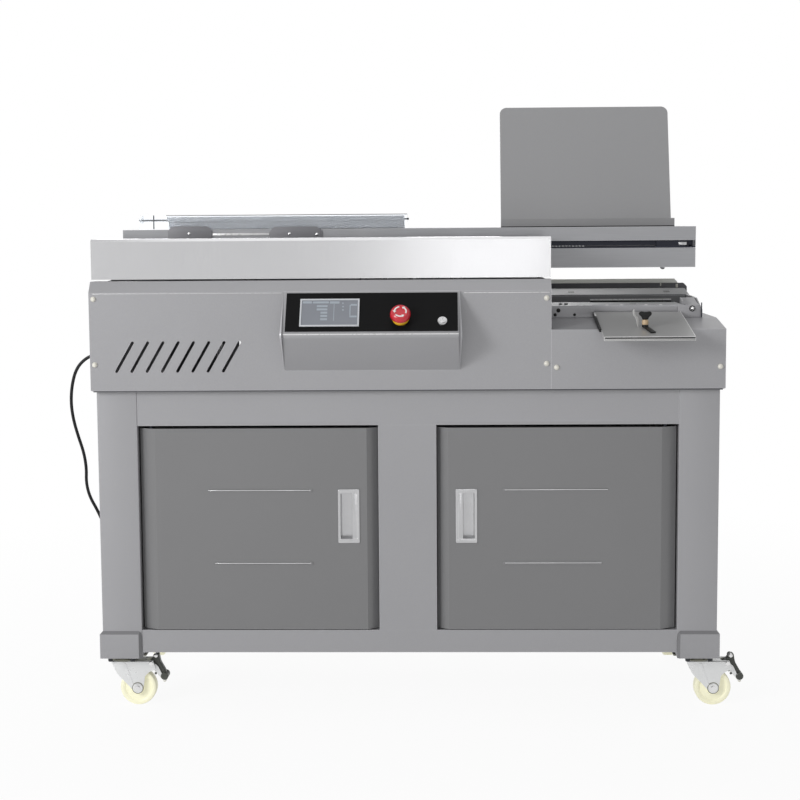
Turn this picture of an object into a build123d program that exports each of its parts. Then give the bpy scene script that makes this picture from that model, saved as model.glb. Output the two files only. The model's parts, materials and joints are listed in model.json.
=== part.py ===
from build123d import *
import math
import os

os.makedirs("parts", exist_ok=True)

# A wheeled perfect binding machine: a cabinet on casters carries the case, and a clamp
# carriage runs along two beams over the cutter and the glue tank to a nipping station.
# Millimetres. X runs along the machine, Y to the back, Z up from the floor.
# Pieces are drawn with y = 0 at the front face of the corner posts, and place() then
# moves them so that the origin is on the floor under the middle of the machine.

# Base cabinet
postOuter, postInner = 625.0, 544.0
blockOuter, blockInner = 630.0, 545.0
postDepth, baseDepth = 60.0, 450.0
casterHeight = 112.0
footRows = ((-6.0, 96.0), (384.0, 456.0))
blockTop, railBottom, railTop = 170.0, 123.5, 170.0
fasciaBottom, baseTop = 590.0, 662.0
centreHalf = 58.5
sheet = 2.0

# Cabinet doors
doorInnerX, doorOuterX = 60.0, 541.0
doorBottom, doorTop = 172.0, 584.0
doorFlatInner, doorFlatOuter = 82.0, 510.0
doorEdgeY, doorBackY = 16.0, 22.0
doorPinX, doorPinY, doorPinR = 518.0, 14.0, 4.0
handleX0, handleX1, handleZ0, handleZ1 = 97.0, 140.5, 350.0, 460.5
ribs = [(195.5, 403.0, 458.0), (196.0, 391.0, 308.5)]

# Casters
casterRows = ((594.5, 60.0), (588.0, 422.0))
casterPlateX = (541.5, 629.5)
pedalPin, pedalReach = (60.0, 89.0), 94.0
casterBolts = (23.0, 26.0)
wheelR, wheelHalf, trail = 37.5, 12.5, 31.0
forkTop, forkHalf, axleR, swivelR, pedalPinR = 95.0, 18.5, 4.0, 6.0, 3.0

# Case
caseHalf, caseSplit = 633.0, 288.0
caseFront, caseRear = -15.0, 465.0
caseBottom, floorTop = 663.0, 666.0
creaseZ, bevelY, bevelZ = 859.0, 5.0, 881.0
shoulderFrontZ, shoulderY, shoulderZ, stationFloorZ = 781.0, 99.0, 796.0, 797.0
rearTopZ = 945.0

# Control console, a wedge on the front of the case
consoleX0, consoleX1 = -243.0, 107.0
slopeTop = (caseFront, 860.0)
slopeFoot = (-80.0, 780.0)
lipZ, consoleBottomZ = 772.0, 702.0
stopX, stopS = -10.0, 70.0
keyX, keyS = 72.0, 77.0
stopStemR, keyRotorR = 8.0, 6.0

# Lid over the working units
lidFront, lidBack, lidBottom, lidTop = 8.0, 205.0, 884.5, 965.0
lidPinY, lidPinZ, lidPinR = 214.0, 957.0, 4.0

# Guide beams, rails and the carriage
beamHalf, beamBottom, beamTop = 608.0, 954.0, 983.0
frontBeamY, rearBeamY, beamDeep = 230.0, 388.0, 32.0
railDeep, railZ, railHalf = 15.0, 944.0, 602.0
jawX0, jawX1, jawZ0, jawZ1 = 196.0, 608.0, 897.0, 938.0
frontJawY, jawDeep, clampY, rearJawBack = 233.0, 30.0, 323.0, 414.0
carriageZ0, carriageZ1 = 938.5, 941.0
clampRodR, clampRodX, clampRodZ = 6.0, (214.0, 588.0), 920.0
plateX0, plateX1, plateTop, leanTop = 200.0, 568.0, 1245.0, 399.0
pinionR, pinionX, rackZ = 15.0, 400.0, 972.0

# Working units along the book's path
bookY = 293.0
millX, notchX, rollerX = 60.0, -80.0, (-350.0, -250.0)
rollerR, rollerShaftR = 32.0, 8.0
tankX0, tankX1, tankY0, tankY1, tankZ0, tankZ1 = -420.0, -170.0, 246.0, 340.0, 800.0, 868.0

# Nipping station and the cover tray
stationX0, stationX1 = 292.0, 610.0
apronY0, apronY1 = 116.0, 119.0
bracketX0, bracketX1 = 556.0, 606.0
nipTopZ, nipFrontY, nipSlotY, rearNipTopZ = 822.0, 120.0, 263.0, 833.0
legX, legY, legR = (330.0, 560.0), 200.0, 10.0
trayX0, trayX1, trayBack, trayFront = 384.0, 561.0, (118.0, 809.5), (-94.0, 771.5)
knobX, knobY = 472.0, -22.0

# Power cord
cordR = 3.5
glandY, glandZ, glandLength = 300.0, 713.0, 34.0

# The middle of the machine's box, between the case's end, the brake pedals and the tray
middleX = (casterRows[0][0] + pedalReach - caseHalf) / 2
middleY = (casterRows[1][1] + pedalReach + trayFront[0] - 2.0) / 2


def block(x0, x1, y0, y1, z0, z1):
    """A box between two corners."""
    centre = ((x0 + x1) / 2, (y0 + y1) / 2, (z0 + z1) / 2)
    return Pos(*centre) * Box(abs(x1 - x0), abs(y1 - y0), abs(z1 - z0))


def alongX(points, x0, x1):
    """A (y, z) outline, extruded from x0 to x1."""
    face = Plane.YZ.offset(x0) * Polygon(*points, align=None)
    return extrude(face, amount=x1 - x0, dir=(1, 0, 0))


def alongY(points, y0, y1):
    """An (x, z) outline, extruded from y0 to y1."""
    face = Plane.XZ.offset(-y0) * Polygon(*points, align=None)
    return extrude(face, amount=y1 - y0, dir=(0, 1, 0))


def alongZ(points, z0, z1):
    """An (x, y) outline, extruded from z0 to z1."""
    face = Plane.XY.offset(z0) * Polygon(*points, align=None)
    return extrude(face, amount=z1 - z0, dir=(0, 0, 1))


def tube(x0, x1, y0, y1, z0, z1, along, wall=3.0):
    """A box section, open at both ends along one axis."""
    grow = [1.0 if axis == along else -wall for axis in "xyz"]
    return block(x0, x1, y0, y1, z0, z1) - block(min(x0, x1) - grow[0], max(x0, x1) + grow[0], y0 - grow[1],
                                                 y1 + grow[1], z0 - grow[2], z1 + grow[2])


def rodX(x0, x1, y, z, r):
    return Pos((x0 + x1) / 2, y, z) * Rot(0, 90, 0) * Cylinder(r, abs(x1 - x0))


def rodY(x, y0, y1, z, r):
    return Pos(x, (y0 + y1) / 2, z) * Rot(90, 0, 0) * Cylinder(r, abs(y1 - y0))


def rodZ(x, y, z0, z1, r):
    return Pos(x, y, (z0 + z1) / 2) * Cylinder(r, abs(z1 - z0))


def mirrorX(points):
    return [(-x, v) for x, v in reversed(points)]


def place(node, *solids):
    """Write one node, moved into the part's own frame."""
    pieces = []
    for solid in solids:
        pieces += [Pos(-middleX, -middleY, 0) * one for one in solid.solids()]
    export_step(Compound(children=pieces) if len(pieces) > 1 else pieces[0], f"parts/{node}.step")


# Base cabinet
def cornerPosts():
    pieces = []
    for side in (-1, 1):
        for y0, (footY0, footY1) in zip((0.0, baseDepth - postDepth), footRows):
            pieces.append(tube(side * postInner, side * postOuter, y0, y0 + postDepth, blockTop, baseTop, "z"))
            foot = tube(side * blockInner, side * blockOuter, footY0, footY1, casterHeight, blockTop, "z", 4.0)
            pieces.append(foot + block(side * blockInner, side * blockOuter, footY0, footY1, casterHeight,
                                       casterHeight + 6))
    place("corner_posts", *pieces)


def cabinetFrame():
    rail = tube(-blockInner + 0.5, blockInner - 0.5, 2, 32, railBottom, railTop, "x")
    fascia = tube(-postInner, postInner, 2, 32, fasciaBottom, baseTop, "x")
    centre = tube(-centreHalf, centreHalf, 2, 42, railTop, fasciaBottom, "z")
    for side in (-1, 1):
        rail -= rodZ(side * doorPinX, doorPinY, 150, 180, doorPinR)
        fascia -= rodZ(side * doorPinX, doorPinY, 580, 606, doorPinR)
    pieces = [rail, fascia, centre]
    for side in (-1, 1):
        pieces.append(tube(side * 555, side * 595, footRows[0][1], footRows[1][0], railBottom, 160, "y"))
        pieces.append(tube(side * 555, side * 595, postDepth, baseDepth - postDepth, 622, baseTop, "y"))
    pieces.append(tube(-postInner, postInner, 395, 435, railBottom, 160, "x"))
    pieces.append(tube(-postInner, postInner, 395, 435, 622, baseTop, "x"))
    place("cabinet_frame", *pieces)


def cabinetPanels():
    sides = [block(s * 618, s * 621, postDepth, baseDepth - postDepth, blockTop, baseTop) for s in (-1, 1)]
    rear = block(-postInner, postInner, 442, 445, 160, baseTop)
    cabinet = block(-postInner, postInner, 32, 395, 160, 163)
    cabinet += block(-600, 600, footRows[0][1], footRows[1][0], 160, 163)
    case = block(-caseHalf + sheet, caseHalf - sheet, caseFront + sheet, caseRear - sheet, baseTop, floorTop)
    place("cabinet_panels", *sides, rear, cabinet, case)


def doorOutline(inset):
    """The door's plan, from its hinge edge to its free edge: a flat front with bevelled edges."""
    outer, inner = doorOuterX - inset, doorInnerX + inset
    back = doorBackY + (1 if inset else 0)
    return [(inner, back), (inner, doorEdgeY + inset), (doorFlatInner, inset), (doorFlatOuter, inset),
            (outer, doorEdgeY + inset), (outer, back)]


def door(name, side):
    turn = (lambda points: points) if side > 0 else mirrorX
    leaf = alongZ(turn(doorOutline(0)), doorBottom, doorTop)
    leaf -= alongZ(turn(doorOutline(sheet)), doorBottom + sheet, doorTop - sheet)
    for x0, x1, z in ribs:
        bead = [(0.5, z - 2.8), (-1.8, z - 1.1), (-1.8, z + 1.1), (0.5, z + 2.8)]
        leaf += alongX(bead, min(side * x0, side * x1), max(side * x0, side * x1)) + rodY(side * x0, -2.2, 0.5, z, 3)
    for z0, z1 in ((doorBottom + sheet, 194), (562, doorTop - sheet)):
        leaf += block(side * (doorPinX - 8), side * (doorPinX + 7), 8.2, doorBackY, z0, z1)
    for z0, z1 in ((doorBottom - 1, 190), (566, doorTop + 1)):
        leaf -= rodZ(side * doorPinX, doorPinY, z0, z1, doorPinR + 0.05)
    leaf -= block(side * (handleX0 + 3), side * (handleX1 - 3), -1, 10, handleZ0 + 3, handleZ1 - 3)
    place(name, leaf)


def doorHandle(name, side):
    flange = block(side * handleX0, side * handleX1, -2, 0, handleZ0, handleZ1)
    flange = fillet(flange.edges().filter_by(Axis.Y), 6)
    cup = block(side * (handleX0 + 3.2), side * (handleX1 - 3.2), 0, 18, handleZ0 + 3.2, handleZ1 - 3.2)
    hollow = block(side * (handleX0 + 5), side * (handleX1 - 5), -3, 16, handleZ0 + 5, handleZ1 - 5)
    grip = block(side * (handleX0 + 5), side * (handleX0 + 16), -2, 0, handleZ0 + 5, handleZ1 - 5)
    place(name, flange + cup - hollow + grip)


# Casters
def casterPlates():
    pieces = []
    for side in (-1, 1):
        for rowX, y in casterRows:
            x = side * rowX
            plate = block(side * casterPlateX[0], side * casterPlateX[1], y - 33, y + 33, casterHeight - 3,
                          casterHeight)
            plate += rodZ(x, y, 90, casterHeight - 3, swivelR) + rodZ(x, y, 87, 91.7, 9)
            for dx in (-casterBolts[0], casterBolts[0]):
                for dy in (-casterBolts[1], casterBolts[1]):
                    plate += rodZ(x + dx, y + dy, forkTop + 1, casterHeight - 3, 5)
            pieces.append(plate)
    place("caster_plates", *pieces)


def caster(name, x, y, turn):
    """One caster, drawn round its swivel with the wheel trailing to +X, then turned and moved to its corner."""
    def fitted(*solids):
        return [Pos(x, y, 0) * Rot(0, 0, turn) * one for one in solids]
    pinX, pinZ = pedalPin
    side = [(-24, forkTop), (64, forkTop), (70, 76), (58, 73), (46, 63), (43.5, 38), (31, 25), (18.5, 35), (-12, 68)]
    fork = block(-24, 64, -forkHalf, forkHalf, forkTop - 3, forkTop)
    fork += rodZ(0, 0, forkTop, casterHeight - 3.3, 24)
    for inner, outer in ((forkHalf - 3, forkHalf), (-forkHalf, 3 - forkHalf)):
        fork += alongY(side, inner, outer) + rodY(trail, inner, outer, wheelR, 13)
    fork -= rodZ(0, 0, 80, 110, swivelR + 0.05) + rodY(trail, -20, 20, wheelR, axleR)
    fork -= rodY(pinX, -20, 20, pinZ, pedalPinR)
    fork -= block(48, 80, -13, 13, 74, 100)
    axle = rodY(trail, -23, 23, wheelR, 7) - rodY(trail, -forkHalf, forkHalf, wheelR, 8)
    axle += rodY(trail, -forkHalf, forkHalf, wheelR, axleR)
    pin = rodY(pinX, -19, 19, pinZ, pedalPinR)
    place("caster_fork_" + name, *fitted(fork, axle, pin))

    wheel = rodY(trail, -wheelHalf, wheelHalf, wheelR, wheelR)
    wheel = fillet(wheel.edges().filter_by(GeomType.CIRCLE), 4)
    for s in (-1, 1):
        wheel -= rodY(trail, s * 9.5, s * 14, wheelR, 27) - rodY(trail, s * 9, s * 15, wheelR, 14)
    wheel += rodY(trail, -15, 15, wheelR, 12)
    wheel -= rodY(trail, -16, 16, wheelR, axleR + 0.05)
    place("caster_wheel_" + name, *fitted(wheel))

    lever = [(56, 93), (67, 107), (74, 108), (77, 90), (85, 76), (90, 66), (87, 52), (79, 58), (70, 66), (58, 84)]
    pedal = alongY(lever, -8, 8) + rodY(pinX, -12, 12, pinZ, 6) + rodY(pedalReach - 8, -14, 14, 61, 8)
    pedal -= rodY(pinX, -20, 20, pinZ, pedalPinR + 0.05)
    place("caster_pedal_" + name, *fitted(pedal))


# Case
def bentSheet(points, inner, x0, x1):
    return alongX(points + list(reversed(inner)), x0, x1)


screwsMain = [(-623.5, 846.5), (-623.5, 715.5), (278.5, 844.0), (278.5, 714.0)]
screwsRight = [(298.5, 706.0), (622.5, 706.5)]


def mainCase():
    outer = [(caseFront, caseBottom), (caseFront, creaseZ), (bevelY, bevelZ), (25, bevelZ)]
    inner = [(caseFront + sheet, caseBottom), (caseFront + sheet, creaseZ - 0.8), (bevelY + 0.9, bevelZ - sheet),
             (25, bevelZ - sheet)]
    skin = bentSheet(outer, inner, -caseHalf, caseSplit)
    slotPitch, slotLength, slotWidth, slotAngle = 30.6, 72.0, 6.0, 60.0
    for i in range(8):
        centre = Pos(-563.5 + i * slotPitch, 730.5, 0)
        slot = Plane.XZ.offset(20) * centre * Rot(0, 0, slotAngle) * SlotOverall(slotLength, slotWidth)
        skin -= extrude(slot, amount=12, dir=(0, 1, 0))
    for x, z in screwsMain:
        skin -= rodY(x, -20, 0, z, 2.5)
    place("main_case", skin)


def rightCase():
    outer = [(caseFront, caseBottom), (caseFront, shoulderFrontZ), (shoulderY, shoulderZ), (apronY1, stationFloorZ)]
    inner = [(caseFront + sheet, caseBottom), (caseFront + sheet, shoulderFrontZ - 1.8), (shoulderY, shoulderZ - sheet),
             (apronY1, stationFloorZ - sheet)]
    skin = bentSheet(outer, inner, caseSplit, caseHalf)
    skin += block(stationX1, caseHalf, 115, caseRear - sheet, stationFloorZ - sheet, stationFloorZ)
    skin += block(602, stationX1 + 1, 115, 331.5, stationFloorZ - sheet, stationFloorZ)
    for x, z in screwsRight:
        skin -= rodY(x, -20, 0, z, 2.5)
    place("right_case", skin)


def casePanels():
    inFront, inRear = caseFront + sheet, caseRear - sheet
    leftEnd = alongX([(inFront, floorTop), (inFront, creaseZ - 2), (3, bevelZ - 5.3), (210, bevelZ - 4), (210, 950),
                      (430, 950),
                      (inRear, rearTopZ), (inRear, floorTop)], -caseHalf, -caseHalf + sheet)
    divider = alongX([(inFront, floorTop), (inFront, creaseZ - 2), (3, bevelZ - 5.3), (425, bevelZ - 4),
                      (425, rearTopZ), (inRear, rearTopZ), (inRear, floorTop)], caseSplit - 4, caseSplit - 1)
    rightEnd = alongX([(inFront, floorTop), (inFront, 778), (shoulderY, 793.5), (inRear, stationFloorZ - sheet),
                       (inRear, floorTop)], caseHalf - sheet, caseHalf)
    rear = alongY([(-caseHalf, floorTop), (-caseHalf, rearTopZ), (caseSplit, rearTopZ), (caseSplit, stationFloorZ),
                   (caseHalf, stationFloorZ), (caseHalf, floorTop)], inRear, caseRear)
    top = block(-caseHalf, caseSplit, 428, caseRear, rearTopZ, rearTopZ + sheet)
    for i in range(10):
        rear -= block(-560 + i * 24, -548 + i * 24, inRear - 1, caseRear + 1, 720, 790)
    place("case_panels", leftEnd, divider, rightEnd, rear, top)


def caseScrews():
    pieces = []
    for x, z in screwsMain + screwsRight:
        dome = Pos(x, caseFront, z) * Rot(90, 0, 0) * Sphere(5.5) & block(x - 6, x + 6, -22, caseFront, z - 6, z + 6)
        pieces.append(dome + rodY(x, caseFront - 1, caseFront + 6, z, 2.5))
    place("case_screws", *pieces)


# Console
slopeLength = math.dist(slopeTop, slopeFoot)
slopeDir = ((slopeFoot[0] - slopeTop[0]) / slopeLength, (slopeFoot[1] - slopeTop[1]) / slopeLength)
slopeNormal = (slopeDir[1], -slopeDir[0])


def slopePoint(s, h):
    """The (y, z) of a point s down the console's slope and h above it."""
    return (slopeTop[0] + slopeDir[0] * s + slopeNormal[0] * h, slopeTop[1] + slopeDir[1] * s + slopeNormal[1] * h)


def onSlope(x, s, h0, h1, r):
    """A round bar square to the console's slope."""
    y, z = slopePoint(s, (h0 + h1) / 2)
    plane = Plane(origin=(x, y, z), x_dir=(1, 0, 0), z_dir=(0, slopeNormal[0], slopeNormal[1]))
    return plane * Cylinder(r, h1 - h0)


def slopeSlab(x0, x1, s0, s1, h0, h1):
    return alongX([slopePoint(s0, h0), slopePoint(s1, h0), slopePoint(s1, h1), slopePoint(s0, h1)], x0, x1)


def console():
    shell = alongX([slopeTop, slopeFoot, (slopeFoot[0], lipZ), (caseFront, consoleBottomZ)], consoleX0, consoleX1)
    shell -= alongX([(caseFront, 856.5), (-78, 779), (-78, 773), (caseFront, 705)], consoleX0 + sheet,
                    consoleX1 - sheet)
    face = slopeSlab(-236, 102, 6.5, 98.5, 0, 2.5)
    for x, s, r in ((stopX, stopS, 11.0), (keyX, keyS, 9.0)):
        shell -= onSlope(x, s, -6, 6, r)
        face -= onSlope(x, s, -6, 6, r)
    place("console_housing", shell)
    place("console_face", face)
    frame = slopeSlab(-208, -91, 22.5, 89, 2.5, 5.5) - slopeSlab(-204.5, -94.5, 26, 85.5, 4.5, 7)
    place("display", frame)


def stopButton():
    collar = onSlope(stopX, stopS, 2.5, 9, 16.5) + onSlope(stopX, stopS, -14, 2.5, 10.9)
    place("stop_collar", collar - onSlope(stopX, stopS, -20, 20, stopStemR + 0.05))
    head = onSlope(stopX, stopS, 14, 29, 20.3)
    head = fillet(head.edges().filter_by(GeomType.CIRCLE), 4)
    place("stop_button", head + onSlope(stopX, stopS, -12, 16, stopStemR))


def keySwitch():
    lock = onSlope(keyX, keyS, 2.5, 6, 9.7) + onSlope(keyX, keyS, -18, 2.5, 8.9)
    place("key_lock", lock - onSlope(keyX, keyS, -30, 20, keyRotorR + 0.05))
    rotor = onSlope(keyX, keyS, -15, 7, keyRotorR)
    place("key_rotor", rotor - slopeSlab(keyX - 1, keyX + 1, keyS - 4, keyS + 4, 5, 9))


# Lid
def lid():
    outer = [(lidFront, lidBottom), (lidFront, lidTop - 5), (lidFront + 5, lidTop), (lidBack, lidTop)]
    inner = [(lidFront + sheet, lidBottom), (lidFront + sheet, lidTop - 6), (lidFront + 6, lidTop - sheet),
             (lidBack, lidTop - sheet)]
    x0, x1 = -caseHalf + sheet, caseSplit
    shell = bentSheet(outer, inner, x0, x1)
    cheek = outer + [(lidBack, lidBottom)]
    shell += alongX(cheek, x0, x0 + sheet) + alongX(cheek, x1 - sheet, x1)
    for x in (-560, -350, -90, 120):
        shell += block(x - 12, x + 12, lidBack - 8, lidPinY, lidTop - 6, lidTop - sheet + 0.5)
        shell += rodX(x - 12, x + 12, lidPinY, lidPinZ, 7)
        shell -= rodX(x - 13, x + 13, lidPinY, lidPinZ, lidPinR + 0.05)
    place("front_lid", shell)


# Beams
uprightsX = [(-511.0, -417.0, 990.0), (-294.0, -183.0, 988.0), (172.0, 262.0, 966.0)]
guardX0, guardX1, guardPinY, guardPinZ, guardPinR = -573.0, -2.0, 267.0, 1003.0, 2.0


def guideBeams():
    for name, y in (("front_guide_beam", frontBeamY), ("rear_guide_beam", rearBeamY)):
        place(name, tube(-beamHalf, beamHalf, y, y + beamDeep, beamBottom, beamTop, "x"))
    rails = [block(-railHalf, railHalf, y, y + railDeep, railZ, beamBottom) for y in (240, 396)]
    rack = block(-598, 598, rearBeamY - 10, rearBeamY, rackZ, rackZ + 10)
    place("carriage_rails", *rails, rack)


def beamBrackets():
    pieces = [guardBackplate()]
    for x0, x1, top in uprightsX:
        plate = alongY([(x0, floorTop), (x0, top - 8), (x0 + 8, top), (x1 - 8, top), (x1, top - 8), (x1, floorTop)],
                       frontBeamY - 4, frontBeamY)
        plate += block(x0, x1, frontBeamY - 30, frontBeamY, floorTop, floorTop + 4)
        mid = (x0 + x1) / 2
        plate += block(mid - 8, mid + 8, lidPinY - 6, frontBeamY - 3, lidPinZ - 7, lidPinZ + 5)
        pieces.append(plate - rodX(mid - 9, mid + 9, lidPinY, lidPinZ, lidPinR))
        back = rearBeamY + beamDeep
        pieces.append(block(x0, x1, back, back + 4, floorTop, 940) + block(x0, x1, back, back + 4, 940, 978)
                      + block(x0, x1, back, back + 28, floorTop, floorTop + 4))
    place("beam_brackets", *pieces)


def guard():
    y0, top = 232.0, 1013.0
    shell = block(guardX0, guardX1, y0, y0 + 3, beamTop + 1.5, top) + block(guardX0, guardX1, y0, 258, top - 3, top)
    for x0 in (guardX0, guardX1 - 3):
        shell += block(x0, x0 + 3, y0, guardPinY + 5, guardPinZ - 6, top)
    place("clear_guard", shell - rodX(guardX0 - 1, guardX1 + 1, guardPinY, guardPinZ, guardPinR + 0.05))


def guardBackplate():
    back = block(-514, -8, 258.5, 261, beamTop, 1006)
    for x in (-500, -260, -20):
        back += block(x - 6, x + 6, 260, 272, guardPinZ - 5, guardPinZ + 3) - rodX(x - 7, x + 7, guardPinY,
                                                                                 guardPinZ, guardPinR)
    return back - rodX(-514, -8, guardPinY, guardPinZ, guardPinR)


def hingePins():
    pieces = [rodX(-590, 266, lidPinY, lidPinZ, lidPinR), rodX(guardX0 - 3, guardX1 + 3, guardPinY, guardPinZ,
                                                               guardPinR)]
    for side in (-1, 1):
        pieces.append(rodZ(side * doorPinX, doorPinY, 566.5, 606, doorPinR))
        pieces.append(rodZ(side * doorPinX, doorPinY, 150, 189.5, doorPinR))
    place("hinge_pins", *pieces)


# Carriage
def carriage():
    frame = block(jawX0, jawX1, frontJawY, rearJawBack, carriageZ0, carriageZ1)
    frame -= block(jawX0 + 10, jawX1 - 10, frontJawY + jawDeep, clampY, carriageZ0 - 1, carriageZ1 + 1)
    for x0 in (jawX0, jawX1 - 10):
        frame += block(x0, x0 + 10, 264, clampY + 1, carriageZ1, 952)
    blocks = []
    for y in (240.0, 396.0):
        for x0 in (216.0, 526.0):
            shoe = block(x0, x0 + 60, y - 5.5, y + railDeep + 5.5, carriageZ1, 952.5)
            blocks.append(shoe - block(x0 - 1, x0 + 61, y - 0.3, y + railDeep + 0.3, railZ - 0.3, 960))
    place("carriage_frame", frame, *blocks)

    rearJaw = block(jawX0, jawX1, clampY, rearJawBack, jawZ0, carriageZ0)
    rearJaw -= block(jawX0 + 40, jawX1 - 40, clampY + 12, rearJawBack - 10, jawZ0 - 1, carriageZ0 - 4)
    frontJaw = block(jawX0, jawX1, frontJawY, frontJawY + jawDeep, jawZ0, jawZ1)
    rods = []
    for x in clampRodX:
        rearJaw -= rodY(x, clampY - 1, 400, clampRodZ, clampRodR + 0.05)
        frontJaw -= rodY(x, frontJawY + 6, frontJawY + jawDeep + 1, clampRodZ, clampRodR)
        rods.append(rodY(x, frontJawY + 6, 336, clampRodZ, clampRodR))
    place("rear_jaw", rearJaw)
    place("front_jaw", frontJaw, *rods)

    foot = block(plateX0, plateX1 + 8, 325, 331, carriageZ1, 1001)
    slant = alongX([(325, 1000.9), (leanTop, plateTop), (leanTop + 4, plateTop - 1.3), (329, 1000.9)],
                   plateX0, plateX1)
    corner = slant.edges().filter_by(lambda e: e.length < 6).sort_by(Axis.Z)[-2:]
    place("backrest_plate", foot + fillet(corner, 15))

    motor = block(pinionX - 21, pinionX + 21, 333, 374, carriageZ1, 972)
    shaftZ = rackZ - pinionR - 0.3
    place("carriage_motor", motor + rodY(pinionX, 374, 387, shaftZ, 5))
    pinion = rodY(pinionX, 376, 386, shaftZ, 12.5)
    for i in range(14):
        tooth = Pos(pinionX, 381, shaftZ) * Rot(0, i * 360 / 14, 0) * Pos(0, 0, 13.4) * Box(3, 10, 3.2)
        pinion += tooth
    place("drive_pinion", pinion - rodY(pinionX, 370, 390, shaftZ, 5.05))


# Working units
def millingUnit():
    motor = rodZ(millX, bookY, 690, 850, 46) + block(millX - 60, millX + 60, 232, 354, floorTop, 690)
    motor += rodZ(millX, bookY, 850, 866, 9)
    notcher = block(notchX - 30, notchX + 30, 350, 415, 835, 890) + block(notchX - 20, notchX + 20, 355, 400,
                                                                          floorTop, 835)
    notcher -= rodY(notchX, 345, 372, 862.5, 6.05)
    x = rollerX[1]
    roller = block(x - 30, x + 30, 352, 415, 826, 884) + block(x - 20, x + 20, 360, 400, floorTop, 826)
    roller -= rodY(x, 350, 374, 855, rollerShaftR + 0.05)
    place("unit_motors", motor, notcher, roller)

    cutter = rodZ(millX, bookY, 868, 880, 62) + rodZ(millX, bookY, 853, 869, 20)
    for i in range(8):
        cutter += Pos(millX, bookY, 883) * Rot(0, 0, i * 45) * Pos(52, 0, 0) * Box(14, 8, 8)
    place("milling_cutter", cutter - rodZ(millX, bookY, 840, 866.5, 9.05))

    saw = rodY(notchX, 288, 296, 862.5, 22) + rodY(notchX, 284, 370, 862.5, 6)
    for i in range(6):
        saw += Pos(notchX, 292, 862.5) * Rot(0, i * 60, 0) * Pos(0, 0, 23) * Box(4, 6, 5)
    place("notching_cutter", saw)


def glueUnit():
    tank = block(tankX0, tankX1, tankY0, tankY1, tankZ0, tankZ1)
    tank -= block(tankX0 + 4, tankX1 - 4, tankY0 + 4, tankY1 - 4, tankZ0 + 4, tankZ1 + 1)
    for x in (tankX0, tankX1 - 16):
        for y in (tankY0, tankY1 - 16):
            tank += block(x, x + 16, y, y + 16, floorTop, tankZ0)
    for x in rollerX:
        tank -= rodY(x, tankY0 - 5, tankY1 + 5, 855, rollerShaftR + 0.05)
    place("glue_tank", tank)
    for name, x, end in (("glue_roller_left", rollerX[0], 346), ("glue_roller_right", rollerX[1], 372)):
        place(name, rodY(x, tankY0 + 8, tankY1 - 8, 855, rollerR) + rodY(x, tankY0 - 6, end, 855, rollerShaftR))


# Nipping station
def nippingStation():
    table = block(stationX0 + 4, 600, 124, 331, 800, 808)
    for x in legX:
        table += rodZ(x, legY, 690, 800, legR)
    table += alongX([(124, 808), (124, 821.5), (191, 833.5), (204, 833.5), (204, 808)], 572, 599.5)
    rearNip = block(stationX0 + 4, 600, clampY, clampY + 8, 808, rearNipTopZ)
    place("nip_table", table, rearNip)
    place("front_nip_plate", block(stationX0 + 2, 569, nipFrontY, nipSlotY, 808, nipTopZ))
    sleeves = [rodZ(x, legY, floorTop, 790, 16) - rodZ(x, legY, floorTop + 4, 791, legR + 0.05) for x in legX]
    apron = block(stationX0, bracketX0 - 1, apronY0, apronY1, stationFloorZ, 806)
    apron += block(stationX0, 380, apronY0, apronY1, stationFloorZ, 818)

    outer = [(333, 700), (333, 835.5), (400, 846), (430, 846), (430, 700)]
    inner = [(335, 700), (335, 833.8), (400.2, 844), (428, 844), (428, 700)]
    rest = alongX(outer, stationX0, stationX1) - alongX(inner, stationX0 - 1, stationX1 + 1)
    for x in (356, 565):
        rest -= block(x - 5, x + 5, 365, 369, 820, 850)
    rest += block(stationX0, stationX1, 333, 430, floorTop, 700) - block(stationX0 - 1, stationX1 + 1, 335, 428,
                                                                         660, 701)
    fence = alongY([(stationX0, floorTop), (stationX0, 857), (612, 857), (620, 849), (620, stationFloorZ),
                    (609, stationFloorZ), (609, floorTop)], 432, 435)
    fence -= block(592, 597, 430, 437, 847, 854)
    wall = alongY([(stationX0, floorTop), (stationX0, 866), (594, 866), (602, 858), (602, floorTop)], 452, 455)
    wall += block(stationX0, 594, 440, 455, 864, 866)
    place("cover_rest", rest)
    plate = alongY([(bracketX0, stationFloorZ), (bracketX0, 822), (bracketX1 - 10, 822), (bracketX1, 814),
                    (bracketX1, stationFloorZ)], apronY0, apronY1)
    cheek = alongX([(apronY1, stationFloorZ), (apronY1, 814), (135, 818), (191, 834), (331, 836),
                    (331, stationFloorZ)], bracketX1 - 3, bracketX1)
    nut = Pos(585, apronY0, 815) * Sphere(7) & block(574, 596, apronY0 - 12, apronY0, 800, 825)
    place("station_frame", apron, fence, wall, *sleeves, plate + cheek, nut)


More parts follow.
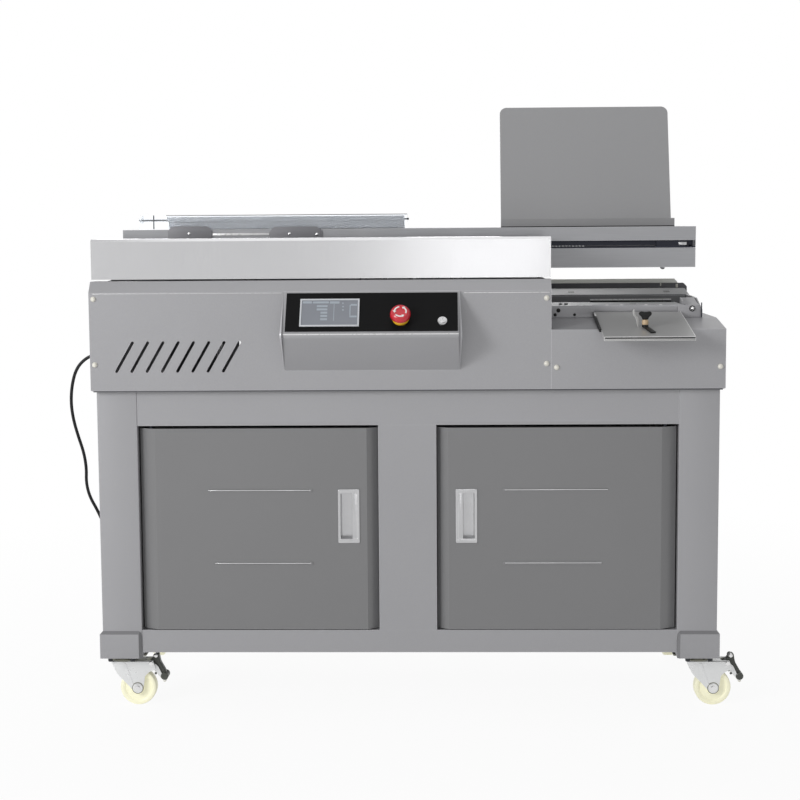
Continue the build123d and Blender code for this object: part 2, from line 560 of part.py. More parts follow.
# Cover tray
def tray():
    (y1, z1), (y0, z0) = trayBack, trayFront
    rise = (z1 - z0) / (y1 - y0)
    def topZ(y):
        return z0 + (y - y0) * rise
    plate = alongX([(y0, z0), (y1 - 4, topZ(y1 - 4)), (y1 - 4, topZ(y1 - 4) - 2.5), (y0, z0 - 2.5)], trayX0, trayX1)
    plate += block(trayX0, trayX1, y0 - 2, y0, z0 - 7, z0)
    flange = [(y0, z0), (-19, topZ(-19)), (-19, topZ(-19) - 8), (y0, z0 - 7)]
    plate += alongX(flange, trayX0, trayX0 + 2.5) + alongX(flange, trayX1 - 2.5, trayX1)
    shoulder = (shoulderZ - shoulderFrontZ) / (shoulderY - caseFront)
    foot = [(10, topZ(10) - 2), (90, topZ(90) - 2), (90, shoulderFrontZ + shoulder * (90 - caseFront)),
            (10, shoulderFrontZ + shoulder * (10 - caseFront))]
    plate += alongX(foot, 400, 410) + alongX(foot, 540, 550)
    base = topZ(knobY)
    place("cover_tray", plate - rodZ(knobX, knobY, 760, 800, 3.05))
    knob = rodZ(knobX, knobY, base + 1.2, base + 10, 6.5) + rodZ(knobX, knobY, base + 10, base + 19, 5)
    knob += block(knobX - 13, knobX + 13, knobY - 4, knobY + 4, base + 17, base + 33)
    knob += rodZ(knobX, knobY, base - 6, base + 2, 3)
    place("tray_knob", knob)


# Power cord
# The route from the gland, out to the side and down behind the machine, to the coil.
cordRoute = [
    (-667.0, 300.0, 713.0),
    (-689.0, 300.0, 712.8),
    (-712.0, 302.0, 703.0),
    (-733.0, 306.0, 681.0),
    (-745.0, 312.0, 644.0),
    (-750.0, 320.0, 604.0),
    (-748.0, 330.0, 566.0),
    (-740.0, 340.0, 526.0),
    (-731.0, 350.0, 490.0),
    (-728.0, 360.0, 452.0),
    (-732.0, 370.0, 418.0),
    (-727.0, 380.0, 384.0),
    (-712.0, 392.0, 350.0),
    (-699.0, 408.0, 308.0),
    (-695.0, 428.0, 262.0),
    (-696.0, 452.0, 212.0),
    (-697.0, 478.0, 158.0),
    (-696.0, 504.0, 106.0),
    (-690.0, 532.0, 58.0),
    (-676.0, 562.0, 22.0),
    (-650.0, 600.0, 6.5),
    (-612.0, 618.0, 3.9),
    (-570.0, 618.0, 3.9),
]
coilX, coilY = -530.0, 566.0
coilOuter, coilPitch, coilTurns, coilLift, coilDip = 52.0, 7.8, 3, 7.7, 2.0


def unit(v):
    return v * (1 / v.length)


def biarc(p0, t0, p1, t1):
    """Two arcs in tangent from p0 along t0 to p1 along t1."""
    v, t = p1 - p0, t0 + t1
    a = 2 * (1 - t0.dot(t1))
    d = v.dot(v) / (2 * v.dot(t)) if a < 1e-9 else (-v.dot(t) + math.sqrt(v.dot(t) ** 2 + a * v.dot(v))) / a
    mid = (p0 + t0 * d + p1 - t1 * d) * 0.5
    first = TangentArc(p0, mid, tangent=t0)
    second = TangentArc(p1, mid, tangent=t1 * -1)
    return [first, second]


def coilAt(turn):
    """The coil's line: in on the floor layer, up a layer in half a turn, and out on the second."""
    if turn <= coilTurns:
        radius, lift = coilOuter - coilPitch * turn, 0.0
    elif turn <= coilTurns + 0.5:
        part = (turn - coilTurns) * 2
        radius = coilOuter - coilPitch * coilTurns - coilDip * math.sin(math.pi * part) ** 2
        lift = coilLift * part * part * (3 - 2 * part)
    else:
        radius, lift = coilOuter - coilPitch * (2 * coilTurns + 0.5 - turn), coilLift
    angle = math.pi / 2 - 2 * math.pi * turn
    return Vector(coilX + radius * math.cos(angle), coilY + radius * math.sin(angle), 3.9 + lift)


def coilTangent(turn, end):
    step = 1e-4
    low, high = max(0.0, turn - step), min(end, turn + step)
    return unit(coilAt(high) - coilAt(low))


def cordAndCoil():
    route = [Vector(*p) for p in cordRoute]
    radii = []
    for before, here, after in zip(route, route[1:], route[2:]):
        turn = (here - before).get_angle(after - here)
        shorter = min((here - before).length, (after - here).length)
        radii.append(0.45 * shorter / math.tan(math.radians(turn) / 2))
    print("cord radii", [round(r) for r in radii])
    path = FilletPolyline(*route, radius=radii)
    start = Plane(origin=route[0], z_dir=route[1] - route[0])
    lead = sweep(start * Circle(cordR), path=path)
    length = path.length
    print("cord length", round(length), "volume ratio", round(lead.volume / (math.pi * cordR ** 2 * length), 4))
    place("power_cord", lead)

    end = 2 * coilTurns + 0.5
    edges = [Line(route[-1], coilAt(0))]
    steps = int(end * 4)
    for i in range(steps):
        a, b = i / 4, (i + 1) / 4
        edges += biarc(coilAt(a), Vector(1, 0, 0) if i == 0 else coilTangent(a, end), coilAt(b), coilTangent(b, end))
    last, out = coilAt(end), coilTangent(end, end)
    edges.append(Line(last, last + out * 46))
    wire = Wire(edges)
    coil = sweep(Plane(origin=route[-1], z_dir=(1, 0, 0)) * Circle(cordR), path=wire)
    print("coil length", round(wire.length), "volume ratio",
          round(coil.volume / (math.pi * cordR ** 2 * wire.length), 4))
    samples = [coilAt(i / 96) for i in range(int(end * 96) + 1)]
    least = min((samples[i] - samples[j]).length for i in range(0, len(samples), 4)
                for j in range(i + 48, len(samples)))
    print("coil least gap to itself", round(least - 2 * cordR, 2))
    place("cord_coil", coil)

    tip = last + out * 46
    plane = Plane(origin=tip, x_dir=(0, 0, 1), z_dir=out)
    body = plane * (Pos(0, 0, 8) * Cone(6, 10, 16))
    body += plane * (Pos(0, 0, 31) * Box(21, 27, 30))
    pins = [plane * (Pos(0, dy, 55) * Cylinder(2.4, 18)) for dy in (-9.5, 9.5)]
    place("power_plug", body, *pins)


def gland():
    relief = Pos(-caseHalf - 6 - (glandLength - 6) / 2, glandY, glandZ) * Rot(0, -90, 0) * Cone(8, 5.2, glandLength - 6)
    nut = rodX(-caseHalf - 6, -caseHalf, glandY, glandZ, 11)
    place("cord_gland", (relief + nut) - rodX(-caseHalf - 40, -caseHalf - 4, glandY, glandZ, cordR))


cornerPosts()
cabinetFrame()
cabinetPanels()
for doorName, doorSide in (("left_door", -1), ("right_door", 1)):
    door(doorName, doorSide)
    doorHandle(doorName + "_handle", doorSide)
casterPlates()
for rowName, (rowX, casterY), casterTurn in zip(("front", "rear"), casterRows, (0, 90)):
    caster(rowName + "_left", -rowX, casterY, casterTurn)
    caster(rowName + "_right", rowX, casterY, casterTurn)
mainCase()
rightCase()
casePanels()
caseScrews()
console()
stopButton()
keySwitch()
lid()
guideBeams()
beamBrackets()
guard()
hingePins()
carriage()
millingUnit()
glueUnit()
nippingStation()
tray()
cordAndCoil()
gland()
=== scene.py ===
import json
import math
import bpy
from mathutils import Matrix, Vector


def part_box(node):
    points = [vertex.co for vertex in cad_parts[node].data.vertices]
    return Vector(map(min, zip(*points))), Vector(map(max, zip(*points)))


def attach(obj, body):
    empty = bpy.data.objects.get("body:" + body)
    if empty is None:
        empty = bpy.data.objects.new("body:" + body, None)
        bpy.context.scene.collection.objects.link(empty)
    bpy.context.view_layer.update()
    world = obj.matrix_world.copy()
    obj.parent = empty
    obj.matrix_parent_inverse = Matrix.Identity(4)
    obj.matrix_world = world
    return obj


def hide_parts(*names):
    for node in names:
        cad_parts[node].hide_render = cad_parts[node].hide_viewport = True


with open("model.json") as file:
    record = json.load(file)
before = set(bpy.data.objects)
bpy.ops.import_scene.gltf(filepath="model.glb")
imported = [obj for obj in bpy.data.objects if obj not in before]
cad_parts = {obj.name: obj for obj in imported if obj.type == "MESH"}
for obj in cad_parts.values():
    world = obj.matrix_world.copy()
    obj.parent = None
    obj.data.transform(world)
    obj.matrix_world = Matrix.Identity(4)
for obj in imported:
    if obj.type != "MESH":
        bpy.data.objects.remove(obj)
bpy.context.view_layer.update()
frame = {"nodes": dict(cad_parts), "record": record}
bpy.ops.object.select_all(action="DESELECT")
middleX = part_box("corner_posts")[0].x + 0.63  # the middle between the corner posts
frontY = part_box("corner_posts")[0].y + 0.006  # the front face of the corner posts
up, toBack, toRight = Vector((0, 0, 1)), Vector((0, 1, 0)), Vector((1, 0, 0))
print("frame loaded:", len(frame["nodes"]), "nodes")


def at(x, y, z):  # a point measured from the middle of the machine, its posts' front face and the floor
    return Vector((x + middleX, y + frontY, z))


# modelling steps, as by hand
def only(*pieces):
    bpy.ops.object.select_all(action="DESELECT")
    for piece in pieces:
        piece.select_set(True)
    bpy.context.view_layer.objects.active = pieces[0]


def applied(piece):
    only(piece)
    bpy.ops.object.transform_apply(location=True, rotation=True, scale=True)
    return piece


def laid(piece, matrix):
    piece.matrix_world = matrix
    return applied(piece)


# open edit mode with the faces or edges selected whose middle and direction pass the test
def pick(piece, kind, test):
    only(piece)
    mesh = piece.data
    bpy.context.tool_settings.mesh_select_mode = (False, kind == "edge", kind == "face")
    for item in (*mesh.vertices, *mesh.edges, *mesh.polygons):
        item.select = False
    if kind == "face":
        for face in mesh.polygons:
            face.select = bool(test(face.center, face.normal))
    else:
        for edge in mesh.edges:
            a, b = (mesh.vertices[i].co for i in edge.vertices)
            edge.select = bool(test((a + b) / 2, (b - a).normalized()))
    bpy.ops.object.mode_set(mode="EDIT")


def done():
    bpy.ops.object.mode_set(mode="OBJECT")


# a block between two corners, with the edges that pass the test rounded
def box(low, high, soft=0.0, steps=2, test=lambda c, d: True):
    low, high = Vector(low), Vector(high)
    bpy.ops.mesh.primitive_cube_add(size=1, location=(low + high) / 2)
    piece = bpy.context.active_object
    piece.scale = [abs(v) for v in high - low]
    applied(piece)
    if soft:
        pick(piece, "edge", test)
        bpy.ops.mesh.bevel(offset=soft, segments=steps, affect="EDGES")
        done()
    return piece


# a turned piece: rings of (radius, height) along an axis, its ends closed
def turned(rings, centre, axis=up, sides=40, twist=0.0):
    radius, height = rings[0]
    bpy.ops.mesh.primitive_circle_add(vertices=sides, radius=radius, location=(0, 0, height))
    piece = applied(bpy.context.active_object)
    bpy.ops.object.mode_set(mode="EDIT")
    bpy.context.tool_settings.mesh_select_mode = (True, False, False)
    bpy.ops.mesh.select_all(action="SELECT")
    for wide, high in rings[1:]:
        bpy.ops.mesh.extrude_edges_move(TRANSFORM_OT_translate={"value": (0, 0, high - height)})
        factor = wide / radius
        bpy.ops.transform.resize(value=(factor, factor, 1), center_override=(0, 0, high))
        radius, height = wide, high
    bpy.ops.mesh.select_all(action="SELECT")
    bpy.ops.mesh.remove_doubles(threshold=1e-5)
    bpy.ops.mesh.fill_holes(sides=0)
    bpy.ops.mesh.normals_make_consistent(inside=False)
    done()
    turn = up.rotation_difference(Vector(axis)).to_matrix().to_4x4() @ Matrix.Rotation(twist, 4, "Z")
    return laid(piece, Matrix.Translation(centre) @ turn)


def sleeve(inner, outer, low, high, centre, axis=up, sides=28):
    rings = [(inner, low), (outer, low), (outer, high), (inner, high), (inner, low)]
    return turned(rings, centre, axis, sides)


# a plate cut from a flat outline, with holes if more outlines follow, and its rims rounded
def plate(outlines, thick, soft, matrix, corner=0.0):
    curve = bpy.data.curves.new("outline", "CURVE")
    curve.dimensions, curve.fill_mode = "2D", "BOTH"
    curve.extrude, curve.bevel_depth, curve.offset = thick / 2 - soft, soft, -soft
    curve.bevel_resolution = 2
    for outline in outlines:
        points = rounded(outline, corner) if corner else outline
        spline = curve.splines.new("POLY")
        spline.points.add(len(points) - 1)
        for point, (x, y) in zip(spline.points, points):
            point.co = (x, y, 0, 1)
        spline.use_cyclic_u = True
    piece = bpy.data.objects.new("plate", curve)
    bpy.context.collection.objects.link(piece)
    only(piece)
    bpy.ops.object.convert(target="MESH")
    piece = bpy.context.active_object
    bpy.ops.object.mode_set(mode="EDIT")
    bpy.ops.mesh.select_all(action="SELECT")
    bpy.ops.mesh.remove_doubles(threshold=1e-6)
    bpy.ops.mesh.normals_make_consistent(inside=False)
    done()
    return laid(piece, matrix)


def rounded(outline, radius):  # the outline with its corners turned into short arcs
    points = []
    for i, here in enumerate(outline):
        here = Vector(here)
        before, after = Vector(outline[i - 1]) - here, Vector(outline[(i + 1) % len(outline)]) - here
        reach = min(radius, before.length * 0.45, after.length * 0.45)
        start, end = here + before.normalized() * reach, here + after.normalized() * reach
        for t in (0.0, 0.25, 0.5, 0.75, 1.0):
            points.append(tuple(start.lerp(here, t).lerp(here.lerp(end, t), t)))
    return points


def upright(x, y, z):  # places a flat outline as (x, z), facing the front
    return Matrix.Translation(at(x, y, z)) @ Matrix.Rotation(math.pi / 2, 4, "X")


def endOn(x):  # places a flat outline as (y, z), facing the right
    return Matrix.Translation(at(x, 0, 0)) @ Matrix(((0, 0, 1, 0), (1, 0, 0, 0), (0, 1, 0, 0), (0, 0, 0, 1)))


def joined(*pieces):
    only(*pieces)
    bpy.ops.object.join()
    return bpy.context.active_object


def again(piece, matrix):  # a copy of a piece with its own mesh, moved or turned
    other = piece.copy()
    other.data = piece.data.copy()
    bpy.context.collection.objects.link(other)
    return laid(other, matrix)


# joins a list of pieces, names the piece, smooths it, moves it with its body and gives it a finish: its look,
# else its slot's own
def finished(piece, name, body="root", slot="case_paint", replaces=(), look=None, angle=35):
    piece = applied(joined(*piece) if isinstance(piece, list) else piece)
    bpy.ops.object.shade_smooth_by_angle(angle=math.radians(angle))
    piece.name = name
    piece.data.materials.clear()
    piece.data.materials.append(finishOf(look or slot))
    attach(piece, body)
    if replaces:
        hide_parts(*replaces)
    return piece


def strip(name, low, high, soft, look=None, body="root", slot="case_paint"):  # a block finished by itself
    finished(box(at(*low), at(*high), soft), name, body, slot, look=look)


# finishes
# what is plain unless it is said: metal, the grain's fineness along x, y and z, and the strength of the rest
# edge is the strength of a painted highlight that pales the colour on rounded folds
plainFinish = dict(metal=0.0, grain=900, flake=0.03, bump=0.01, coat=0.0, edge=0.0, specular=0.5, glow=0.0)
finishes, madeFinishes = {}, {}


# a finish: its two colours, the size of their patches, the range of roughness and what isn't plain
def finish(name, dark, light, patch, rough, **rest):
    finishes[name] = {**plainFinish, "colours": (dark, light), "patch": patch, "rough": rough, **rest}


finish("case_paint", (0.345, 0.344, 0.358), (0.375, 0.374, 0.388), 3.0, (0.36, 0.44), metal=0.25, grain=1100,
       flake=0.05, bump=0.03, coat=0.15, edge=0.35)
finish("door_paint", (0.198, 0.198, 0.202), (0.216, 0.216, 0.22), 2.5, (0.34, 0.42), metal=0.25, grain=1100,
       flake=0.05, bump=0.03, coat=0.2, edge=0.3)
finish("lid_metal", (0.6, 0.6, 0.612), (0.65, 0.65, 0.662), 1.6, (0.2, 0.24), metal=0.85,
       grain=(1300, 1300, 40), flake=0.035, bump=0.015, coat=0.1, edge=0.3)
finish("plate_paint", (0.32, 0.32, 0.328), (0.347, 0.347, 0.355), 2.0, (0.4, 0.48), metal=0.2, grain=1100,
       flake=0.04, bump=0.03, coat=0.1, edge=0.2)
finish("tab_paint", (0.185, 0.185, 0.198), (0.212, 0.212, 0.225), 3.0, (0.4, 0.48), metal=0.2, grain=1100,
       flake=0.04, bump=0.03, coat=0.1, edge=0.2)
finish("backplate_paint", (0.3, 0.305, 0.315), (0.34, 0.345, 0.355), 3.0, (0.34, 0.42), metal=0.35,
       grain=(30, 1100, 1100), flake=0.05, bump=0.02, coat=0.1, edge=0.2)
# painted shade: a darker grey for the feet's chamfered rims, which are the same painted metal as the posts
finish("rim_shaded_paint", (0.2, 0.2, 0.208), (0.225, 0.225, 0.233), 6.0, (0.4, 0.48), metal=0.2, grain=1100,
       flake=0.05, bump=0.03, coat=0.1)
# olive_paint's glow is painted light: the station wall emits a little of its own colour to lift it out of the
# shade under the beams
finish("olive_paint", (0.6, 0.605, 0.57), (0.66, 0.665, 0.63), 3.0, (0.4, 0.48), metal=0.1, grain=1100,
       flake=0.05, bump=0.03, coat=0.1, edge=0.2, glow=0.14)
finish("tray_paint", (0.39, 0.39, 0.386), (0.43, 0.43, 0.425), 2.5, (0.3, 0.36), metal=0.25, grain=1100,
       coat=0.25, edge=0.8)
finish("dark_sheet", (0.08, 0.081, 0.088), (0.102, 0.103, 0.11), 6.0, (0.36, 0.46), metal=0.3, flake=0.08,
       bump=0.03, edge=0.6)
finish("dark_steel", (0.016, 0.017, 0.026), (0.03, 0.032, 0.044), 9.0, (0.34, 0.46), metal=0.4,
       grain=(40, 900, 900), flake=0.1, bump=0.03, edge=0.5, specular=0.3)
finish("machined", (0.355, 0.358, 0.374), (0.392, 0.395, 0.411), 3.0, (0.34, 0.42), metal=0.35,
       grain=(14, 1100, 1100), flake=0.05, bump=0.015, edge=0.4)
finish("rest_metal", (0.15, 0.152, 0.158), (0.19, 0.192, 0.198), 5.0, (0.42, 0.5), metal=0.25,
       grain=(14, 1100, 1100), flake=0.08, bump=0.015, edge=0.7)
finish("bright_steel", (0.46, 0.46, 0.47), (0.54, 0.54, 0.55), 12.0, (0.22, 0.32), metal=0.9,
       grain=(30, 900, 900), flake=0.06, bump=0.012, edge=0.3)
finish("zinc", (0.8, 0.81, 0.815), (0.88, 0.885, 0.885), 22.0, (0.24, 0.34), metal=0.45, grain=600,
       bump=0.006, coat=0.1, edge=0.2)
finish("dark_zinc", (0.16, 0.16, 0.13), (0.24, 0.235, 0.19), 40.0, (0.3, 0.42), metal=0.7, grain=600,
       flake=0.08, bump=0.02, edge=0.3)
finish("chrome", (0.8, 0.8, 0.8), (0.86, 0.86, 0.86), 20.0, (0.08, 0.14), metal=1.0, grain=600, flake=0.01,
       bump=0.004)
finish("soft_chrome", (0.5, 0.5, 0.51), (0.58, 0.58, 0.59), 30.0, (0.2, 0.3), metal=0.85, grain=600,
       flake=0.04, edge=0.4)
finish("bright_edge", (0.78, 0.78, 0.78), (0.84, 0.84, 0.84), 30.0, (0.24, 0.32), metal=0.2, grain=600,
       flake=0.02, bump=0.0, coat=0.1)
finish("panel_black", (0.0065, 0.0065, 0.007), (0.009, 0.009, 0.0095), 20.0, (0.42, 0.5), grain=1600,
       flake=0.08, bump=0.02, specular=0.06)
finish("display_case", (0.58, 0.6, 0.63), (0.64, 0.66, 0.69), 30.0, (0.28, 0.36), metal=0.1, flake=0.02,
       coat=0.1)
finish("screen", (0.215, 0.23, 0.262), (0.255, 0.27, 0.3), 16.0, (0.16, 0.22), grain=2000, bump=0.0,
       coat=0.1, specular=0.3)
finish("screen_field", (0.34, 0.385, 0.44), (0.4, 0.445, 0.49), 60.0, (0.16, 0.22), grain=2000, bump=0.0,
       coat=0.1, specular=0.3)
finish("stop_red", (0.55, 0.01, 0.025), (0.63, 0.016, 0.035), 40.0, (0.2, 0.28), flake=0.02, coat=0.3)
finish("stop_yellow", (0.78, 0.42, 0.015), (0.86, 0.52, 0.02), 40.0, (0.25, 0.33), flake=0.02, coat=0.2)
finish("stop_white", (0.84, 0.82, 0.82), (0.9, 0.88, 0.88), 40.0, (0.3, 0.38), flake=0.02, coat=0.1)
# wheel_nylon's glow is painted light: the wheels emit a little of their ivory colour to look brighter
finish("wheel_nylon", (0.8, 0.78, 0.56), (0.88, 0.86, 0.66), 30.0, (0.34, 0.46), grain=800, bump=0.02,
       glow=0.26)
finish("pedal_grey", (0.05, 0.054, 0.048), (0.08, 0.085, 0.074), 40.0, (0.32, 0.45), metal=0.2, flake=0.06,
       bump=0.03, coat=0.1, edge=0.4)
finish("white_cap", (0.76, 0.74, 0.66), (0.84, 0.82, 0.74), 60.0, (0.26, 0.34), flake=0.02, coat=0.2)
finish("motor_enamel", (0.012, 0.014, 0.018), (0.02, 0.022, 0.028), 12.0, (0.34, 0.46), metal=0.1,
       flake=0.08, bump=0.05, coat=0.1, edge=0.4)
finish("cord_black", (0.007, 0.007, 0.008), (0.011, 0.011, 0.012), 30.0, (0.44, 0.56), grain=1200,
       flake=0.06, bump=0.03, specular=0.35)
finish("knob_black", (0.006, 0.006, 0.006), (0.01, 0.01, 0.01), 60.0, (0.34, 0.44), grain=1200, flake=0.05,
       bump=0.03, specular=0.3)
finish("collar_tan", (0.56, 0.4, 0.24), (0.64, 0.48, 0.3), 60.0, (0.35, 0.45), bump=0.02)
finish("glue", (0.55, 0.46, 0.26), (0.62, 0.54, 0.34), 14.0, (0.18, 0.3), grain=60, flake=0.05, bump=0.2,
       coat=0.5)


def finishOf(name):
    if name not in madeFinishes:
        clear = name == "clear_acrylic"
        madeFinishes[name] = clearSheet() if clear else paintOrMetal(name, finishes[name])
    return madeFinishes[name]


def newMaterial(name):  # a material with its nodes and its shader
    material = bpy.data.materials.new(name)
    material.use_nodes = True
    nodes = material.node_tree.nodes
    return material, nodes, nodes["Principled BSDF"]


def newNode(nodes, kind, **settings):
    node = nodes.new("ShaderNode" + kind)
    for setting, value in settings.items():
        setattr(node, setting, value)
    return node


def setInputs(node, values):
    for socket, value in values.items():
        node.inputs[socket].default_value = value


def wire(source, node, socket=0):  # from an output, or from a node's first one, to an input
    output = source if isinstance(source, bpy.types.NodeSocket) else source.outputs[0]
    node.id_data.links.new(output, node.inputs[socket])


# a mix node of two colours or two numbers by a factor that varies over the surface
def mixOf(nodes, kind, factor, a, b):
    mix = newNode(nodes, "Mix", data_type=kind)
    first, second, out = (6, 7, 2) if kind == "RGBA" else (2, 3, 0)
    wire(factor, mix)
    for slot, value in ((first, a), (second, b)):
        if isinstance(value, bpy.types.NodeSocket):
            wire(value, mix, slot)
        else:
            mix.inputs[slot].default_value = (*value, 1) if kind == "RGBA" else value
    return mix.outputs[out]


def paintOrMetal(name, look):
    material, nodes, shader = newMaterial(name)
    place = newNode(nodes, "TexCoord").outputs["Object"]
    stretch = newNode(nodes, "Mapping")
    fine = look["grain"]
    setInputs(stretch, {"Scale": fine if isinstance(fine, tuple) else (fine, fine, fine)})
    wire(place, stretch, "Vector")
    grain, patches, smudges = (newNode(nodes, "TexNoise") for _ in range(3))
    for noise, scale, detail, source in ((grain, 1.0, 3.0, stretch), (patches, look["patch"], 4.0, place),
                                         (smudges, look["patch"] * 4.7, 5.0, place)):
        setInputs(noise, {"Scale": scale, "Detail": detail})
        wire(source, noise, "Vector")
    dark, light = look["colours"]
    cloudy = mixOf(nodes, "RGBA", patches, dark, light)
    speck = newNode(nodes, "MapRange")
    flake = look["flake"]
    setInputs(speck, {"From Min": 0.3, "From Max": 0.7, "To Min": 1 - flake, "To Max": 1 + flake})
    wire(grain, speck)
    colour = newNode(nodes, "VectorMath", operation="SCALE")
    wire(cloudy, colour)
    wire(speck, colour, "Scale")
    finalColour = colour.outputs[0]
    if look["edge"]:  # painted highlight: the colour turns paler on rounded folds, where the Bevel normal leaves the face's own normal
        fold, shape = newNode(nodes, "Bevel", samples=6), newNode(nodes, "NewGeometry")
        dot, edgeHighlight = newNode(nodes, "VectorMath", operation="DOT_PRODUCT"), newNode(nodes, "MapRange")
        setInputs(fold, {"Radius": 0.0016})
        wire(fold, dot)
        wire(shape.outputs["Normal"], dot, 1)
        wire(dot.outputs["Value"], edgeHighlight)
        setInputs(edgeHighlight, {"From Min": 0.9, "From Max": 0.995, "To Min": look["edge"], "To Max": 0.0})
        highlightColour = [min(0.9, v * 2.2) for v in light]
        finalColour = mixOf(nodes, "RGBA", edgeHighlight, finalColour, highlightColour)
    wire(finalColour, shader, "Base Color")
    low, high = look["rough"]
    wire(mixOf(nodes, "FLOAT", smudges, low, high), shader, "Roughness")
    setInputs(shader, {"Metallic": look["metal"], "Coat Weight": look["coat"], "Coat Roughness": 0.25,
                       "Specular IOR Level": look["specular"]})
    # painted light: a finish with glow emits its light colour though it is no lamp
    if look["glow"]:
        setInputs(shader, {"Emission Color": (*light, 1), "Emission Strength": look["glow"]})
    if look["bump"]:
        bump = newNode(nodes, "Bump")
        setInputs(bump, {"Strength": look["bump"], "Distance": 0.0004})
        wire(grain, bump, "Height")
        wire(bump, shader, "Normal")
    return material


def clearSheet():  # clear polished sheet: glass for light that shines through, its tint and roughness varying in faint smears
    material, nodes, shader = newMaterial("clear_acrylic")
    smear = newNode(nodes, "TexNoise")
    setInputs(smear, {"Scale": 30.0, "Detail": 6.0})
    wire(newNode(nodes, "TexCoord").outputs["Object"], smear, "Vector")
    wire(mixOf(nodes, "FLOAT", smear, 0.02, 0.12), shader, "Roughness")
    wire(mixOf(nodes, "RGBA", smear, (0.86, 0.89, 0.93), (0.93, 0.95, 0.97)), shader, "Base Color")
    setInputs(shader, {"Transmission Weight": 0.85, "IOR": 1.2})
    return material


# camera, floor and light
camera = dict(place=(0.07237, -3.28806, 0.9864), lens=74.25, left=1.5, down=6.0, lean=0.4)
yaw, pitch, lean = (math.radians(camera[k]) for k in ("left", "down", "lean"))
ahead = Vector((-math.sin(yaw) * math.cos(pitch), math.cos(yaw) * math.cos(pitch), -math.sin(pitch)))
side = ahead.cross(up).normalized()
over = side.cross(ahead)
picX = side * math.cos(lean) - over * math.sin(lean)
picY = side * math.sin(lean) + over * math.cos(lean)
lensData = bpy.data.cameras.new("camera")
lensData.lens, lensData.sensor_width = camera["lens"], 36.0
view = bpy.data.objects.new("camera", lensData)
bpy.context.collection.objects.link(view)
turn = Matrix((picX, picY, -ahead)).transposed()
view.matrix_world = Matrix.Translation(at(*camera["place"])) @ turn.to_4x4()
bpy.context.scene.camera = view
bpy.context.scene.view_settings.view_transform = "Standard"

studio = dict(ambient=0.36, floorSize=80.0, mirrored=0.75, floorGlow=0.93, floorTone=0.9, fadeFrom=1.0,
              fadeTo=2.4)
lamps = [  # name, place, aimed at, size, watts
    ("key", (-3.0, -3.1, 2.0), (0.0, 0.0, 0.55), 1.4, 92.0),
    ("fill", (0.4, -3.3, 0.42), (0.05, 0.0, 0.3), 0.8, 6.0),
    ("strip", (0.3, -5.2, 0.85), (0.15, 0.0, 0.95), 0.7, 3.7),
    ("top", (0.1, 0.2, 3.4), (0.1, 0.2, 0.9), 2.2, 10.0),
    ("back", (-0.5, 3.6, 2.4), (0.0, 0.3, 0.8), 2.6, 60.0),
]
for name, place, target, size, watts in lamps:
    lampData = bpy.data.lights.new(name, "AREA")
    lampData.size, lampData.energy = size, watts
    lamp = bpy.data.objects.new(name, lampData)
    bpy.context.collection.objects.link(lamp)
    lamp.location = at(*place)
    lamp.rotation_mode = "QUATERNION"
    lamp.rotation_quaternion = (at(*target) - at(*place)).to_track_quat("-Z", "Y")
    lamp.visible_glossy = name != "fill"  # the fill would glare in the lid

world = bpy.data.worlds.new("studio")
bpy.context.scene.world = world
world.use_nodes = True
nodes = world.node_tree.nodes
rays, seen = newNode(nodes, "LightPath"), newNode(nodes, "Math", operation="MAXIMUM")
wire(rays.outputs["Is Camera Ray"], seen)
wire(rays.outputs["Is Transmission Ray"], seen, 1)
# the strength for plain light, raised for mirror rays and again for what the camera sees
mirrored, whole = (newNode(nodes, "Math", operation="MULTIPLY_ADD") for _ in range(2))
setInputs(mirrored, {1: studio["mirrored"] - studio["ambient"], 2: studio["ambient"]})
setInputs(whole, {1: 1.0 - studio["ambient"]})
wire(rays.outputs["Is Glossy Ray"], mirrored)
wire(seen, whole)
wire(mirrored, whole, 2)
setInputs(nodes["Background"], {"Color": (1, 1, 1, 1)})
wire(whole, nodes["Background"], "Strength")

bpy.ops.mesh.primitive_plane_add(size=studio["floorSize"], location=(0, 0, -0.0005))
floor = bpy.context.active_object
floor.name = "floor"
floorLook, nodes, shader = newMaterial("floor")
tone = studio["floorTone"]
setInputs(shader, {"Base Color": (tone, tone, tone, 1), "Roughness": 0.8, "Specular IOR Level": 0.2})
glow, rays, mix = (newNode(nodes, kind) for kind in ("Emission", "LightPath", "MixShader"))
setInputs(glow, {"Strength": 1.0})
share, dimmed = (newNode(nodes, "Math", operation="MULTIPLY") for _ in range(2))
both = newNode(nodes, "Math", operation="MAXIMUM")
wire(rays.outputs["Is Camera Ray"], both)
wire(rays.outputs["Is Glossy Ray"], dimmed)
setInputs(dimmed, {1: studio["mirrored"]})
wire(dimmed, both, 1)
wire(both, share)
distance, fade = newNode(nodes, "VectorMath", operation="LENGTH"), newNode(nodes, "MapRange")
wire(newNode(nodes, "TexCoord").outputs["Object"], distance)
wire(distance.outputs["Value"], fade)
setInputs(fade, {"From Min": studio["fadeFrom"], "From Max": studio["fadeTo"], "To Min": studio["floorGlow"],
                 "To Max": 1.0})
wire(fade, share, 1)
for socket, source in enumerate((share, shader, glow)):
    wire(source, mix, socket)
wire(mix, nodes["Material Output"], "Surface")
floor.data.materials.append(floorLook)
print("camera, lamps and floor made")

